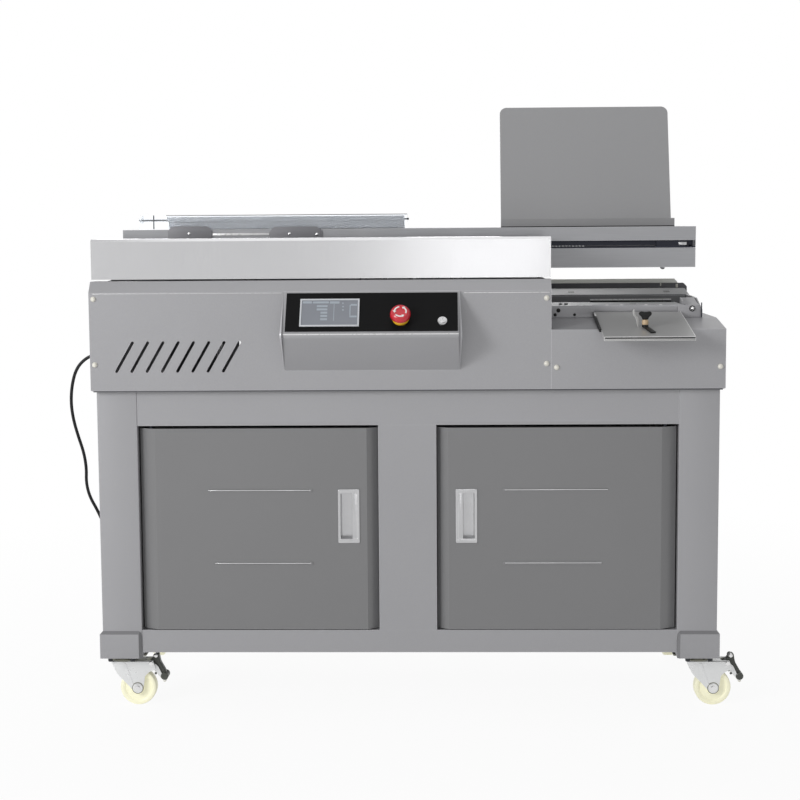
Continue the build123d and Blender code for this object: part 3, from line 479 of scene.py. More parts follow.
# power cord, one line from its gland to its coil and plug
cord = dict(diameter=0.007, exit=(-0.667, 0.3, 0.713), coil=(-0.53, 0.566), floorZ=0.0039, outer=0.052,
            pitch=0.0078, turns=3, lift=0.0077, dip=0.002, perTurn=16, tail=0.046)
cordRoute = [
    (-0.667, 0.3, 0.713), (-0.689, 0.3, 0.7128), (-0.712, 0.302, 0.703), (-0.733, 0.306, 0.681),
    (-0.745, 0.312, 0.644), (-0.75, 0.32, 0.604), (-0.748, 0.33, 0.566), (-0.74, 0.34, 0.526),
    (-0.731, 0.35, 0.49), (-0.728, 0.36, 0.452), (-0.732, 0.37, 0.418), (-0.727, 0.38, 0.384),
    (-0.712, 0.392, 0.35), (-0.699, 0.408, 0.308), (-0.695, 0.428, 0.262), (-0.696, 0.452, 0.212),
    (-0.697, 0.478, 0.158), (-0.696, 0.504, 0.106), (-0.69, 0.532, 0.058), (-0.676, 0.562, 0.022),
    (-0.65, 0.6, 0.0065), (-0.612, 0.618, 0.0039), (-0.57, 0.618, 0.0039),
]


# the coil's line: in on the floor layer, up a layer in half a turn, and out on the second
def coilPoint(turn):
    turns, pitch, outer = cord["turns"], cord["pitch"], cord["outer"]
    if turn <= turns:
        radius, lift = outer - pitch * turn, 0.0
    elif turn <= turns + 0.5:
        part = (turn - turns) * 2
        radius = outer - pitch * turns - cord["dip"] * math.sin(math.pi * part) ** 2
        lift = cord["lift"] * part * part * (3 - 2 * part)
    else:
        radius, lift = outer - pitch * (2 * turns + 0.5 - turn), cord["lift"]
    angle = math.pi / 2 - 2 * math.pi * turn
    radius /= math.cos(math.pi / cord["perTurn"]) ** 0.5  # the smooth line runs just inside its points
    x, y = cord["coil"]
    return (x + radius * math.cos(angle), y + radius * math.sin(angle), cord["floorZ"] + lift)


steps = int((2 * cord["turns"] + 0.5) * cord["perTurn"])
linePoints = cordRoute + [coilPoint(i / cord["perTurn"]) for i in range(steps + 1)]
lastX, lastY, lastZ = linePoints[-1]
linePoints += [(lastX - cord["tail"] * part, lastY, lastZ) for part in (0.5, 1.0)]
cordCurve = bpy.data.curves.new("power_lead", "CURVE")
cordCurve.dimensions, cordCurve.bevel_depth, cordCurve.bevel_resolution = "3D", cord["diameter"] / 2, 5
cordCurve.resolution_u, cordCurve.use_fill_caps = 5, True
line = cordCurve.splines.new("NURBS")
line.points.add(len(linePoints) - 1)
for point, place in zip(line.points, linePoints):
    point.co = (*at(*place), 1)
line.order_u, line.use_endpoint_u = 3, True
lead = bpy.data.objects.new("power_lead", cordCurve)
bpy.context.collection.objects.link(lead)
cordCurve.materials.append(finishOf("cord_black"))
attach(lead, "root")
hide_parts("power_cord", "cord_coil")
print("power cord made")

# corner posts and their feet
posts = dict(outer=0.625, inner=0.544, deep=0.06, top=0.662, backFront=0.39, footTop=0.17, footBottom=0.112,
             footOuter=0.63, footInner=0.545, footRows=((-0.006, 0.096), (0.384, 0.456)), rim=0.0075,
             corner=0.0055)
pieces, rims = [], []
for s in (-1, 1):
    for y, (footY0, footY1) in zip((0.0, posts["backFront"]), posts["footRows"]):
        pieces.append(box(at(s * posts["inner"], y, posts["footTop"] - 0.012),
                          at(s * posts["outer"], y + posts["deep"], posts["top"]), 0.0025, 3,
                          lambda c, d: abs(d.z) > 0.9))
        foot = box(at(s * posts["footInner"], footY0, posts["footBottom"]),
                   at(s * posts["footOuter"], footY1, posts["footTop"]), posts["rim"], 1,
                   lambda c, d: c.z > posts["footTop"] - 0.001)
        innerEdge = s * posts["footInner"] + middleX
        pick(foot, "edge", lambda c, d: abs(d.z) > 0.9 and abs(c.x - innerEdge) < 0.001)
        bpy.ops.mesh.bevel(offset=posts["corner"], segments=1, affect="EDGES")
        done()
        # the chamfered rims are split off to take a darker copy of the paint: painted shade on the top and
        # side chamfers
        pick(foot, "face", lambda c, n: 0.2 < n.z < 0.98 or 0.2 < abs(n.x) < 0.98)
        bpy.ops.mesh.separate(type="SELECTED")
        done()
        rims += [other for other in bpy.context.selected_objects if other != foot]
        pick(foot, "edge", lambda c, d: c.z < posts["footBottom"] + 0.001)
        bpy.ops.mesh.bevel(offset=0.0012, segments=2, affect="EDGES")
        done()
        pieces.append(foot)
finished(pieces, "corner_posts_dressed", replaces=("corner_posts",), angle=25)
finished(rims, "foot_rims", look="rim_shaded_paint", angle=10)

# control console
slopeTop, slopeFoot = Vector((-0.015, 0.86)), Vector((-0.08, 0.78))
slopeRun = (slopeFoot - slopeTop).normalized()
console = dict(x0=-0.243, x1=0.107, lip=0.772, low=0.702, back=-0.015)


def onSlope(x, s, h=0.0):  # places what is drawn flat, facing up, on the slope: s down it and h above it
    y, z = slopeTop + slopeRun * s
    normal = Vector((0, slopeRun.y, -slopeRun.x))
    matrix = Matrix((toRight, Vector((0, -slopeRun.x, -slopeRun.y)), normal)).transposed().to_4x4()
    return Matrix.Translation(at(x, y, z) + normal * h) @ matrix


def consoleShell():  # a block whose end is drawn into the console's wedge, its front edges rounded
    width = console["x1"] - console["x0"]
    outline = [(console["back"], slopeTop.y), (slopeFoot.x, slopeFoot.y), (slopeFoot.x, console["lip"]),
               (console["back"], console["low"])]
    shell = plate([outline], width, 0.0002, endOn((console["x0"] + console["x1"]) / 2))
    pick(shell, "edge", lambda c, d: False)
    bpy.ops.mesh.select_all(action="SELECT")
    bpy.ops.mesh.dissolve_limited(angle_limit=math.radians(8))
    done()
    pick(shell, "edge", lambda c, d: c.y < at(0, -0.02, 0).y)
    bpy.ops.mesh.bevel(offset=0.0035, segments=4, affect="EDGES")
    done()
    return shell


finished(consoleShell(), "console_shell", replaces=("console_housing",), angle=30)
# painted highlight: a thin near-white rod along the console's rounded front edge
edge = turned([(0.0012, console["x0"] + 0.003), (0.0012, console["x1"] - 0.003)], at(0, -0.079, 0.7782),
              toRight, 16)
finished(edge, "console_edge_highlight", look="bright_edge")

screen = dict(x0=-0.208, x1=-0.091, s0=0.0225, s1=0.089, base=0.0025, thick=0.003, rim=0.0032)
fields = [  # the screen's plain fields: left, top, width and height as shares of the screen
    (0.02, 0.04, 0.16, 0.09), (0.2, 0.05, 0.28, 0.08), (0.5, 0.05, 0.17, 0.09), (0.87, 0.16, 0.11, 0.07),
    (0.27, 0.2, 0.19, 0.08), (0.27, 0.33, 0.19, 0.08), (0.34, 0.46, 0.12, 0.08), (0.34, 0.59, 0.12, 0.08),
    (0.34, 0.72, 0.12, 0.08), (0.72, 0.1, 0.02, 0.06), (0.72, 0.24, 0.03, 0.05), (0.72, 0.37, 0.03, 0.05),
    (0.85, 0.2, 0.02, 0.46), (0.85, 0.62, 0.13, 0.07), (0.57, 0.16, 0.012, 0.66),
]
across, down, rim = screen["x1"] - screen["x0"], screen["s1"] - screen["s0"], screen["rim"]
outside = [(0, 0), (across, 0), (across, -down), (0, -down)]
inside = [(rim, -rim), (across - rim, -rim), (across - rim, rim - down), (rim, rim - down)]
bezel = plate([outside, inside], screen["thick"], 0.0007,
              onSlope(screen["x0"], screen["s0"], screen["base"] + screen["thick"] / 2))
finished(bezel, "display_frame", "root", "display_case", ("display",))
glassTop = screen["base"] + 0.0016
wide, tall = across - 2 * rim + 0.001, down - 2 * rim + 0.001
matrix = onSlope(screen["x0"] + rim - 0.0005, screen["s0"] + rim - 0.0005, glassTop)
glass = laid(box((0, -tall, -0.0012), (wide, 0, 0)), matrix)
finished(glass, "display_glass", "root", "display_case", look="screen")
tiles = [laid(box((left * wide, -(top + high) * tall, 0), ((left + part) * wide, -top * tall, 0.0002),
                  0.00008, 1), matrix) for left, top, part, high in fields]
finished(tiles, "display_fields", "root", "display_case", look="screen_field")
# painted light along the case: near-white highlight lines on its crease, and a dark strip of painted shade
# for the shadow gap under its lower edge
creaseHighlights = [box(at(x0, -0.0154, z - high / 2), at(x1, -0.0146, z + high / 2), 0.0001)
               for x0, x1, z, high in ((-0.624, -0.247, 0.8569, 0.0006), (0.115, 0.284, 0.8554, 0.001))]
finished(creaseHighlights, "case_crease_highlights", look="bright_edge")
strip("case_gap_shade", (-0.628, -0.014, 0.66), (0.628, -0.0006, 0.6634), 0.0004, "dark_sheet")
# a fold that closes the gap between the cabinet's floor and its rear sheet
strip("cabinet_rear_fold", (-0.5435, 0.4335, 0.1601), (0.5435, 0.4419, 0.1613), 0.0003)
print("posts and console made")

# stop button and key switch
stop = dict(x=-0.01, s=0.07)
keySwitch = dict(x=0.072, s=0.077)


def onStop(rings):
    return laid(turned(rings, (0, 0, 0), sides=48), onSlope(stop["x"], stop["s"]))


head = onStop([(0.008, -0.012), (0.008, 0.014), (0.015, 0.0141), (0.0186, 0.0145), (0.0203, 0.0158),
               (0.0203, 0.018), (0.0196, 0.021), (0.018, 0.0238), (0.016, 0.0258), (0.0145, 0.0266),
               (0.0125, 0.026), (0.0095, 0.0254), (0.004, 0.0254)])
finished(head, "stop_button_head", "stop_button", "stop_red", ("stop_button",), angle=40)
arrow = dict(inner=0.01, outer=0.0128, sweep=70, head=24, flare=0.0022, steps=9)


def arrowOutline(start):  # a bent arrow round the button's head
    inner, outer, end = arrow["inner"], arrow["outer"], start + arrow["sweep"]
    ring = [start + arrow["sweep"] * i / arrow["steps"] for i in range(arrow["steps"] + 1)]
    points = [(outer, a) for a in ring] + [(outer + arrow["flare"], end)]
    points += [((inner + outer) / 2, end + arrow["head"]), (inner - arrow["flare"], end)]
    points += [(inner, a) for a in reversed(ring)]
    return [(r * math.cos(math.radians(a)), r * math.sin(math.radians(a))) for r, a in points]


arrows = [plate([arrowOutline(start)], 0.001, 0.0002, onSlope(stop["x"], stop["s"], 0.0262))
          for start in (100, 220, 340)]
finished(arrows, "stop_button_arrows", "stop_button", "stop_red", look="stop_white")
collar = onStop([(0.0081, -0.012), (0.0109, -0.012), (0.0109, 0.0025), (0.0165, 0.0025), (0.0165, 0.005),
                 (0.0158, 0.0074), (0.014, 0.009), (0.0081, 0.009), (0.0081, -0.012)])
finished(collar, "stop_button_collar", "root", "stop_yellow", ("stop_collar",), angle=40)
lockRings = [(0.00615, -0.018), (0.0089, -0.018), (0.0089, 0.0), (0.0097, 0.0), (0.0097, 0.0022),
             (0.009, 0.0032), (0.0076, 0.0035), (0.007, 0.0028), (0.00615, 0.0028), (0.00615, -0.018)]
lock = laid(turned(lockRings, (0, 0, 0)), onSlope(keySwitch["x"], keySwitch["s"], 0.0025))
finished(lock, "key_switch_ring", "root", "chrome", ("key_lock",), look="soft_chrome", angle=40)
print("buttons made")

# casters
caster = dict(reach=(0.5945, 0.588), rows=(0.06, 0.422), trail=0.031, wheel=0.0375, pedalX=0.06, pedalZ=0.089,
              knob=(0.086, 0.061), plate=(0.5415, 0.6295))
casterPlaces = (("front_left", -1, 0), ("front_right", 1, 0), ("rear_left", -1, 1), ("rear_right", 1, 1))
forkOutline = [(-0.024, 0.095), (0.064, 0.095), (0.07, 0.076), (0.058, 0.073), (0.047, 0.0635),
               (0.0435, 0.04), (0.037, 0.028), (0.031, 0.025), (0.025, 0.028), (0.0185, 0.035),
               (-0.012, 0.068)]
creaseOutline = [(0.0, 0.091), (0.0075, 0.091), (0.0235, 0.044), (0.0185, 0.04)]
pedalOutline = [(0.056, 0.093), (0.067, 0.107), (0.074, 0.108), (0.077, 0.09), (0.085, 0.076), (0.09, 0.066),
                (0.087, 0.052), (0.079, 0.058), (0.07, 0.066), (0.058, 0.084)]
armOutline = [(0.05, 0.086), (0.066, 0.088), (0.073, 0.082), (0.08, 0.067), (0.09, 0.054), (0.085, 0.05),
              (0.074, 0.062), (0.063, 0.076), (0.048, 0.079)]


def sideways(y):  # places a flat outline as (x, z) about the caster's own swivel
    return Matrix.Translation((0, y, 0)) @ Matrix.Rotation(math.pi / 2, 4, "X")


def onAxle(y):
    return caster["trail"], y, caster["wheel"]


def onPedal(y):
    return caster["pedalX"], y, caster["pedalZ"]


def hexBolt(centre, axis, across, high):
    radius = across / math.sqrt(3)
    return turned([(radius, 0.0), (radius, high * 0.75), (radius * 0.86, high)], centre, axis, sides=6)


def disc(centre, axis, radius, high, soft=0.0006, sides=32):
    rings = [(radius, 0.0), (radius, high - soft), (radius - soft, high), (radius * 0.4, high)]
    return turned(rings, centre, axis, sides)


def dome(centre, axis, radius, high, sides=24):
    rings = [(radius, 0.0)] + [(radius * math.cos(math.radians(a)), high * math.sin(math.radians(a)))
                               for a in (20, 40, 60, 80)]
    return turned(rings, centre, axis, sides)


def domes(places, axis, radius, high):  # round heads of screws or bolts
    return [dome(at(*place), axis, radius, high) for place in places]


def forkParts():
    pieces = [box((-0.024, -0.0185, 0.092), (0.048, 0.0185, 0.095), 0.001)]
    for out in (-1, 1):
        pieces.append(box((0.046, out * 0.0135, 0.092), (0.064, out * 0.0185, 0.095), 0.001))
        pieces.append(plate([forkOutline], 0.003, 0.0008, sideways(out * 0.017), corner=0.004))
        pieces.append(plate([creaseOutline], 0.003, 0.0012, sideways(out * 0.0178), corner=0.002))
        pieces.append(disc(onAxle(out * 0.0185), (0, out, 0), 0.0105, 0.002))
    return joined(*pieces)


def raceParts():
    race = turned([(0.0061, 0.095), (0.024, 0.095), (0.0245, 0.097), (0.0235, 0.1), (0.0225, 0.101),
                   (0.0235, 0.102), (0.0245, 0.105), (0.0235, 0.1075), (0.0061, 0.1085), (0.0061, 0.095)],
                  (0, 0, 0), sides=48)
    return joined(race, *[disc(onAxle(out * 0.0184), (0, out, 0), 0.0122, 0.001) for out in (-1, 1)])


def axleParts():
    pieces = []
    for out in (-1, 1):
        pieces.append(disc(onAxle(out * 0.0198), (0, out, 0), 0.0085, 0.001))
        pieces.append(hexBolt(onAxle(out * 0.0206), (0, out, 0), 0.011, 0.0034))
        pieces.append(disc(onPedal(out * 0.0185), (0, out, 0), 0.0046, 0.0022))
    return joined(*pieces, turned([(0.003, -0.019), (0.003, 0.019)], onPedal(0), toBack, 16))


def wheelParts():
    rings = [(0.00405, -0.015), (0.012, -0.015), (0.012, -0.0105), (0.0135, -0.0095), (0.0265, -0.0095),
             (0.029, -0.0118), (0.0335, -0.0125), (0.0362, -0.0112), (0.0375, -0.0082), (0.0375, 0.0082),
             (0.0362, 0.0112), (0.0335, 0.0125), (0.029, 0.0118), (0.0265, 0.0095), (0.0135, 0.0095),
             (0.012, 0.0105), (0.012, 0.015), (0.00405, 0.015), (0.00405, -0.015)]
    return turned(rings, onAxle(0), toBack, sides=64)


def pedalParts():
    bar = plate([pedalOutline], 0.016, 0.0015, sideways(0), corner=0.004)
    hub = sleeve(0.00305, 0.006, -0.012, 0.012, onPedal(0), toBack, 24)
    x, z = caster["knob"]
    knob = turned([(0.0062, -0.014), (0.0078, -0.0128), (0.0078, 0.0128), (0.0062, 0.014)], (x, 0, z), toBack,
                  28)
    pads = [disc((0.068, out * 0.0116, 0.067), (0, out, 0), 0.0025, 0.0012) for out in (-1, 1)]
    return joined(bar, hub, knob, *pads)


def armParts():
    return joined(*[plate([armOutline], 0.0025, 0.0008, sideways(out * 0.0105), 0.003) for out in (-1, 1)])


def boltParts():
    return joined(*[dome((0.0675, out * 0.0078, 0.103), (0, out, 0), 0.005, 0.0034) for out in (-1, 1)])


def pedalTip():
    x, z = caster["knob"]
    rings = [(0.0022, -0.0115), (0.0032, -0.0105), (0.0032, 0.0105), (0.0022, 0.0115)]
    return turned(rings, (x, 0, z - 0.0095), toBack, 20)


masters = {  # each part's shape, what it moves with, its slot and its finish
    "fork": (forkParts(), "fork", "zinc", None),
    "race": (raceParts(), "fork", "zinc", "dark_zinc"),
    "axle": (axleParts(), "fork", "zinc", "chrome"),
    "wheel": (wheelParts(), "wheel", "wheel_nylon", None),
    "pedal": (pedalParts(), "pedal", "pedal_grey", None),
    "tip": (pedalTip(), "pedal", "pedal_grey", "white_cap"),
    "arm": (armParts(), "pedal", "pedal_grey", "zinc"),
    "bolt": (boltParts(), "pedal", "pedal_grey", "chrome"),
}
for name, across, behind in casterPlaces:
    swivel = at(across * caster["reach"][behind], caster["rows"][behind], 0)
    matrix = Matrix.Translation(swivel) @ Matrix.Rotation(behind * math.pi / 2, 4, "Z")
    for part, (master, owner, slot, look) in masters.items():
        body = "caster_" + owner + "_" + name
        finished(again(master, matrix), "caster_" + part + "_" + name + "_dressed", body, slot,
                 (body,) if part == owner else (), look)
for master, *_ in masters.values():
    bpy.data.objects.remove(master)

mountPieces, mountBolts = [], []
for across in (-1, 1):
    for reach, y in zip(caster["reach"], caster["rows"]):
        x = across * reach
        inner, outer = (across * edge for edge in caster["plate"])
        mountPieces.append(box(at(inner, y - 0.033, 0.109), at(outer, y + 0.033, 0.112), 0.0008))
        kingpin = [(0.009, 0.087), (0.009, 0.0917), (0.006, 0.0917), (0.006, 0.109)]
        mountPieces.append(turned(kingpin, at(x, y, 0), sides=24))
        for dx in (-0.023, 0.023):
            for dy in (-0.026, 0.026):
                mountBolts.append(hexBolt(at(x + dx, y + dy, 0.1092), -up, 0.0088, 0.013))
finished(mountPieces, "caster_plates_dressed", "root", "zinc", ("caster_plates",), look="dark_zinc")
finished(mountBolts, "caster_bolts", "root", "zinc", look="motor_enamel")
print("casters made")

# door handles
handle = dict(x0=0.097, x1=0.1405, z0=0.35, z1=0.4605)
for sideName, s in (("left", -1), ("right", 1)):
    centreX, centreZ = s * (handle["x0"] + handle["x1"]) / 2, (handle["z0"] + handle["z1"]) / 2
    w, h = (handle["x1"] - handle["x0"]) / 2, (handle["z1"] - handle["z0"]) / 2
    rim, hole = ([(-a, -b), (a, -b), (a, b), (-a, b)] for a, b in ((w, h), (w - 0.005, h - 0.009)))
    flange = plate([rim, hole], 0.0024, 0.0008, upright(centreX, -0.0012, centreZ), corner=0.003)
    cup = box(at(centreX - w + 0.0035, 0.0, centreZ - h + 0.0035),
              at(centreX + w - 0.0035, 0.018, centreZ + h - 0.0035))
    pick(cup, "face", lambda c, n: n.y < -0.9)
    bpy.ops.mesh.inset(thickness=0.0018, depth=0.0)
    bpy.ops.mesh.extrude_region_move(TRANSFORM_OT_translate={"value": (0, 0.0155, 0)})
    bpy.ops.transform.resize(value=(0.86, 1, 0.9))
    done()
    grip = box(at(centreX - s * w + s * 0.004, -0.002, centreZ - h + 0.008),
               at(centreX - s * w + s * 0.015, 0.0004, centreZ + h - 0.008), 0.0009, 3)
    name = sideName + "_door_handle"
    finished([flange, cup, grip], name + "_dressed", sideName + "_door", "chrome", (name,), "soft_chrome")
beads = ((0.1955, 0.403, 0.458), (0.196, 0.391, 0.3085))  # each pressed bead's ends and height
# painted highlights: thin bright metal strips along the top of each pressed bead
for sideName, s in (("left", -1), ("right", 1)):
    beadHighlights = [box(at(s * x0, -0.0023, z - 0.0004), at(s * x1, -0.0017, z + 0.001), 0.0002)
             for x0, x1, z in beads]
    finished(beadHighlights, sideName + "_door_bead_highlights", sideName + "_door", "door_paint", look="lid_metal")
print("door handles made")

# brackets that carry the beams, the plate behind the guard and the lid's knuckles
brackets = dict(plates=((-0.511, -0.417, 0.99), (-0.294, -0.183, 0.988), (0.172, 0.262, 0.966)), foot=0.666,
                rearTop=0.978, rearY=0.42, pinY=0.214, pinZ=0.957, guardPinY=0.267, guardPinZ=1.003,
                screws=((-0.466, 0.9743), (-0.2519, 0.9728), (-0.1938, 0.9715), (0.2, 0.958), (0.24, 0.958)))
tabs = []
for x0, x1, top in brackets["plates"]:
    foot = brackets["foot"]
    w, h, middle, high = (x1 - x0) / 2, (top - foot) / 2, (x0 + x1) / 2, (top + foot) / 2
    outline = [(-w, -h), (w, -h), (w, h - 0.009), (w - 0.01, h), (-w + 0.01, h), (-w, h - 0.009)]
    tabs.append(plate([outline], 0.004, 0.0006, upright(middle, 0.228, high), corner=0.003))
    tabs.append(box(at(x0, 0.2, foot), at(x1, 0.23, foot + 0.004), 0.0008))
    pinPlace = at(middle, brackets["pinY"], brackets["pinZ"])
    tabs.append(sleeve(0.0042, 0.0068, -0.008, 0.008, pinPlace, toRight))
    tabs.append(box(at(middle - 0.008, 0.22, 0.9525), at(middle + 0.008, 0.2275, 0.9615), 0.0008))
    rise = brackets["rearTop"] - high
    tabs.append(plate([[(-w, -h), (w, -h), (w, rise), (-w, rise)]], 0.004, 0.0006,
                      upright(middle, brackets["rearY"] + 0.002, high), corner=0.003))
    tabs.append(box(at(x0, brackets["rearY"], foot), at(x1, 0.448, foot + 0.004), 0.0008))
finished(tabs, "beam_brackets_dressed", replaces=("beam_brackets",), look="tab_paint", angle=30)
backPlate = [box(at(-0.514, 0.2585, 0.983), at(-0.008, 0.261, 1.006), 0.0009)]
for x in (-0.5, -0.26, -0.02):
    pinPlace = at(x, brackets["guardPinY"], brackets["guardPinZ"])
    backPlate.append(sleeve(0.0022, 0.004, -0.006, 0.006, pinPlace, toRight, 20))
    backPlate.append(box(at(x - 0.006, 0.2605, 1.0), at(x + 0.006, 0.2645, 1.0055), 0.0006))
finished(backPlate, "guard_backplate", look="backplate_paint")
tabScrews = domes([(x, 0.2262, z) for x, z in brackets["screws"]], -toBack, 0.0034, 0.002)
finished(tabScrews, "bracket_screws", look="chrome")
# painted highlight: a thin near-white line on the beam between the first two tabs
strip("beam_highlight_line", (-0.416, 0.2285, 0.97), (-0.2955, 0.2298, 0.9745), 0.0003, "bright_edge", slot="machined")

# guard: the seam between its two sheets, its dark top edge and the band behind it
guard = dict(x0=-0.573, x1=-0.002, front=0.232, top=1.013, low=0.9845, seam=-0.5415)
trims = [box(at(guard["seam"] - 0.0016, guard["front"] - 0.0006, guard["low"]),
             at(guard["seam"] + 0.001, guard["front"] + 0.0008, guard["top"] + 0.0006), 0.0002)]
trims.append(box(at(guard["x0"] + 0.058, guard["front"] - 0.0004, guard["top"] - 0.001),
                 at(guard["x1"], guard["front"] + 0.0012, guard["top"] + 0.0006), 0.0003))
finished(trims, "guard_trims", "clear_guard", "clear_acrylic", look="dark_sheet")
band = box(at(-0.514, guard["front"] + 0.0035, 1.0), at(-0.008, guard["front"] + 0.0045, 1.0098), 0.0003)
finished(band, "guard_band", "clear_guard", "clear_acrylic", look="backplate_paint")
print("brackets and guard made")

# beam ends, rail bolts and the carriage's small parts
beams = dict(half=0.608, low=0.954, high=0.983, rows=(0.23, 0.388), deep=0.032)
caps = []
for y in beams["rows"]:
    for s in (-1, 1):
        x = s * (beams["half"] - 0.004)
        caps.append(box(at(x - 0.003, y + 0.003, beams["low"] + 0.003),
                        at(x + 0.003, y + beams["deep"] - 0.003, beams["high"] - 0.003), 0.0008))
for s in (-1, 1):
    caps.append(box(at(s * 0.602, 0.2305, 0.9413), at(s * 0.6078, 0.2615, beams["low"]), 0.0008))
finished(caps, "beam_end_caps", "root", "machined", look="dark_sheet")
railBolts = [disc(at(-0.59 + 0.0605 * i, y, 0.9442), -up, 0.0042, 0.0006)
             for y in (0.2475, 0.4035) for i in range(20)]
finished(railBolts, "rail_bolts", "root", "bright_steel", look="chrome")
dots = [box(at(0.305 + 0.0072 * i, 0.2385, 0.9415), at(0.3086 + 0.0072 * i, 0.24, 0.9435), 0.0003)
        for i in range(10)]
dots.append(box(at(0.572, 0.2335, 0.943), at(0.59, 0.2385, 0.9505), 0.0018, 3))
finished(dots, "carriage_scale", "carriage", "dark_sheet", look="soft_chrome")
jawBolts = domes([(x, 0.244, 0.8972) for x in (0.25, 0.5405)], -up, 0.0056, 0.005)
finished(jawBolts, "jaw_bolts", "front_jaw", "machined", look="soft_chrome")
plateScrews = domes([(x, 0.3252, 0.949) for x in (0.22, 0.32, 0.448, 0.552)], -toBack, 0.0042, 0.0024)
finished(plateScrews, "backrest_screws", "carriage", "lid_metal", look="zinc")
# painted shade: a thin black strip for the shadow gap under the backrest's foot
footLow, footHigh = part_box("backrest_plate")
seam = box(at(footLow.x - middleX, 0.3244, 0.9822), at(footHigh.x - middleX, 0.3254, 0.985), 0.0003)
finished(seam, "backrest_gap_shade", "carriage", "lid_metal", look="knob_black")
print("rails made")

# nipping station
station = dict(x0=0.292, apron=(0.116, 0.119), bracket=(0.556, 0.606), nut=(0.585, 0.815),
               fence=(0.432, 0.435), wall=(0.452, 0.455), legs=(0.33, 0.56), legY=0.2, nipTop=0.822)
low, deep0, deep1 = 0.666, *station["apron"]


def standing(points, y0, y1, soft=0.0006, corner=0.0):  # a sheet standing across the machine, drawn as (x, z)
    return plate([points], y1 - y0, soft, upright(0, (y0 + y1) / 2, 0), corner)


x0 = station["x0"]
apron = standing([(x0, 0.797), (0.555, 0.797), (0.555, 0.806), (0.381, 0.806), (0.379, 0.818), (x0, 0.818)],
                 deep0, deep1, corner=0.001)
finished(apron, "station_apron", replaces=("station_frame",))
b0, b1 = station["bracket"]
bracket = [standing([(b0, 0.797), (b1, 0.797), (b1, 0.814), (b1 - 0.008, 0.822), (b0, 0.822)], deep0, deep1,
                    corner=0.002)]
cheekLine = [(0.1185, 0.797), (0.1185, 0.814), (0.135, 0.818), (0.191, 0.834), (0.331, 0.836), (0.331, 0.797)]
bracket.append(plate([cheekLine], 0.003, 0.0006, endOn(b1 - 0.0015), corner=0.004))
finished(bracket, "station_bracket")
nx, nz = station["nut"]
finished(disc(at(nx, deep0, nz), -toBack, 0.0062, 0.0012), "bracket_washer", look="knob_black")
nut = [hexBolt(at(nx, deep0 - 0.001, nz), -toBack, 0.008, 0.0034),
       dome(at(nx, deep0 - 0.004, nz), -toBack, 0.0036, 0.0034)]
finished(nut, "bracket_nut", look="chrome")
f0, f1 = station["fence"]
fence = standing([(x0, low), (0.609, low), (0.609, 0.797), (0.62, 0.797), (0.62, 0.849), (0.612, 0.857),
                  (x0, 0.857)], f0, f1, corner=0.002)
finished(fence, "station_fence", look="dark_sheet")
# painted light: white inlays in the fence's two slots for the bright backdrop seen through them
backdropSlots = [box(at(0.595, f0 - 0.0004, 0.844), at(0.5998, f0 + 0.0004, 0.8545), 0.0003),
         box(at(0.56, f0 - 0.0004, 0.85), at(0.5625, f0 + 0.0004, 0.8565), 0.0003)]
finished(backdropSlots, "fence_slot_backdrop", look="white_cap")
w0, w1 = station["wall"]
wallLine = [(x0, low), (0.602, low), (0.602, 0.858), (0.594, 0.866), (x0, 0.866)]
wall = [standing(wallLine, w0, w1, corner=0.003),
        box(at(x0, 0.4405, 0.864), at(0.594, w1, 0.866), 0.0007)]
finished(wall, "station_wall", look="olive_paint")
sleeves = []
for x in station["legs"]:
    sleeves.append(turned([(0.0101, 0.67), (0.016, 0.666), (0.016, 0.788), (0.0145, 0.79), (0.0101, 0.79),
                           (0.0101, 0.67)], at(x, station["legY"], 0), sides=40))
    sleeves.append(sleeve(0.0165, 0.024, 0.666, 0.671, at(x, station["legY"], 0), sides=40))
finished(sleeves, "lift_sleeves", look="bright_steel", angle=40)
top = station["nipTop"]
nipPlaces = ((0.4115, 0.13), (0.4415, 0.13), (0.492, 0.13), (0.5225, 0.132))
nipScrews = domes([(x, y, top - 0.0002) for x, y in nipPlaces], up, 0.004, 0.0014)
finished(nipScrews, "nip_plate_screws", "front_nip_plate", "machined", look="stop_white")
# painted shade: a black strip continues the bright strip along the plate's back edge, and a dark square and
# two dark hexagons stand for its shaded recesses
shadeMarks = [box(at(0.392, 0.245, top - 0.0006), at(0.5655, 0.2632, top + 0.0001), 0.0002),
         box(at(0.464, 0.178, top - 0.0006), at(0.478, 0.19, top + 0.0001), 0.0002)]
strip("nip_plate_band", (0.384, 0.1192, 0.8085), (0.566, 0.1203, 0.8195), 0.0003, "case_paint",
      "front_nip_plate", "machined")
shadeMarks += [disc(at(x, 0.168, top - 0.0005), up, 0.0042, 0.003, sides=6) for x in (0.3185, 0.33)]
finished(shadeMarks, "nip_plate_shade_marks", "front_nip_plate", "machined", look="knob_black")
# painted highlights: near-white strips along the plate's back and front edges on its left part
shine = [box(at(0.2955, 0.248, top - 0.0006), at(0.388, 0.2632, top + 0.0003), 0.0002),
         box(at(0.2955, 0.1205, top - 0.0012), at(0.38, 0.1285, top + 0.0004), 0.0003)]
finished(shine, "nip_plate_highlights", "front_nip_plate", "machined", look="bright_edge")
apronBolts = [dome(at(x, deep0 - 0.0002, z), -toBack, radius, high)
              for x, z, radius, high in ((0.3107, 0.8125, 0.0044, 0.0026), (0.304, 0.8035, 0.0034, 0.0022),
                                         (0.344, 0.8035, 0.003, 0.0018))]
finished(apronBolts, "apron_bolts", look="knob_black")
endLine = [(0.1237, 0.8083), (0.1237, 0.8218), (0.191, 0.8338), (0.2043, 0.8338), (0.2043, 0.8083)]
endBlock = plate([endLine], 0.0281, 0.0006, endOn(0.5857))
finished(endBlock, "nip_end_block", "nip_table", "machined", look="case_paint")
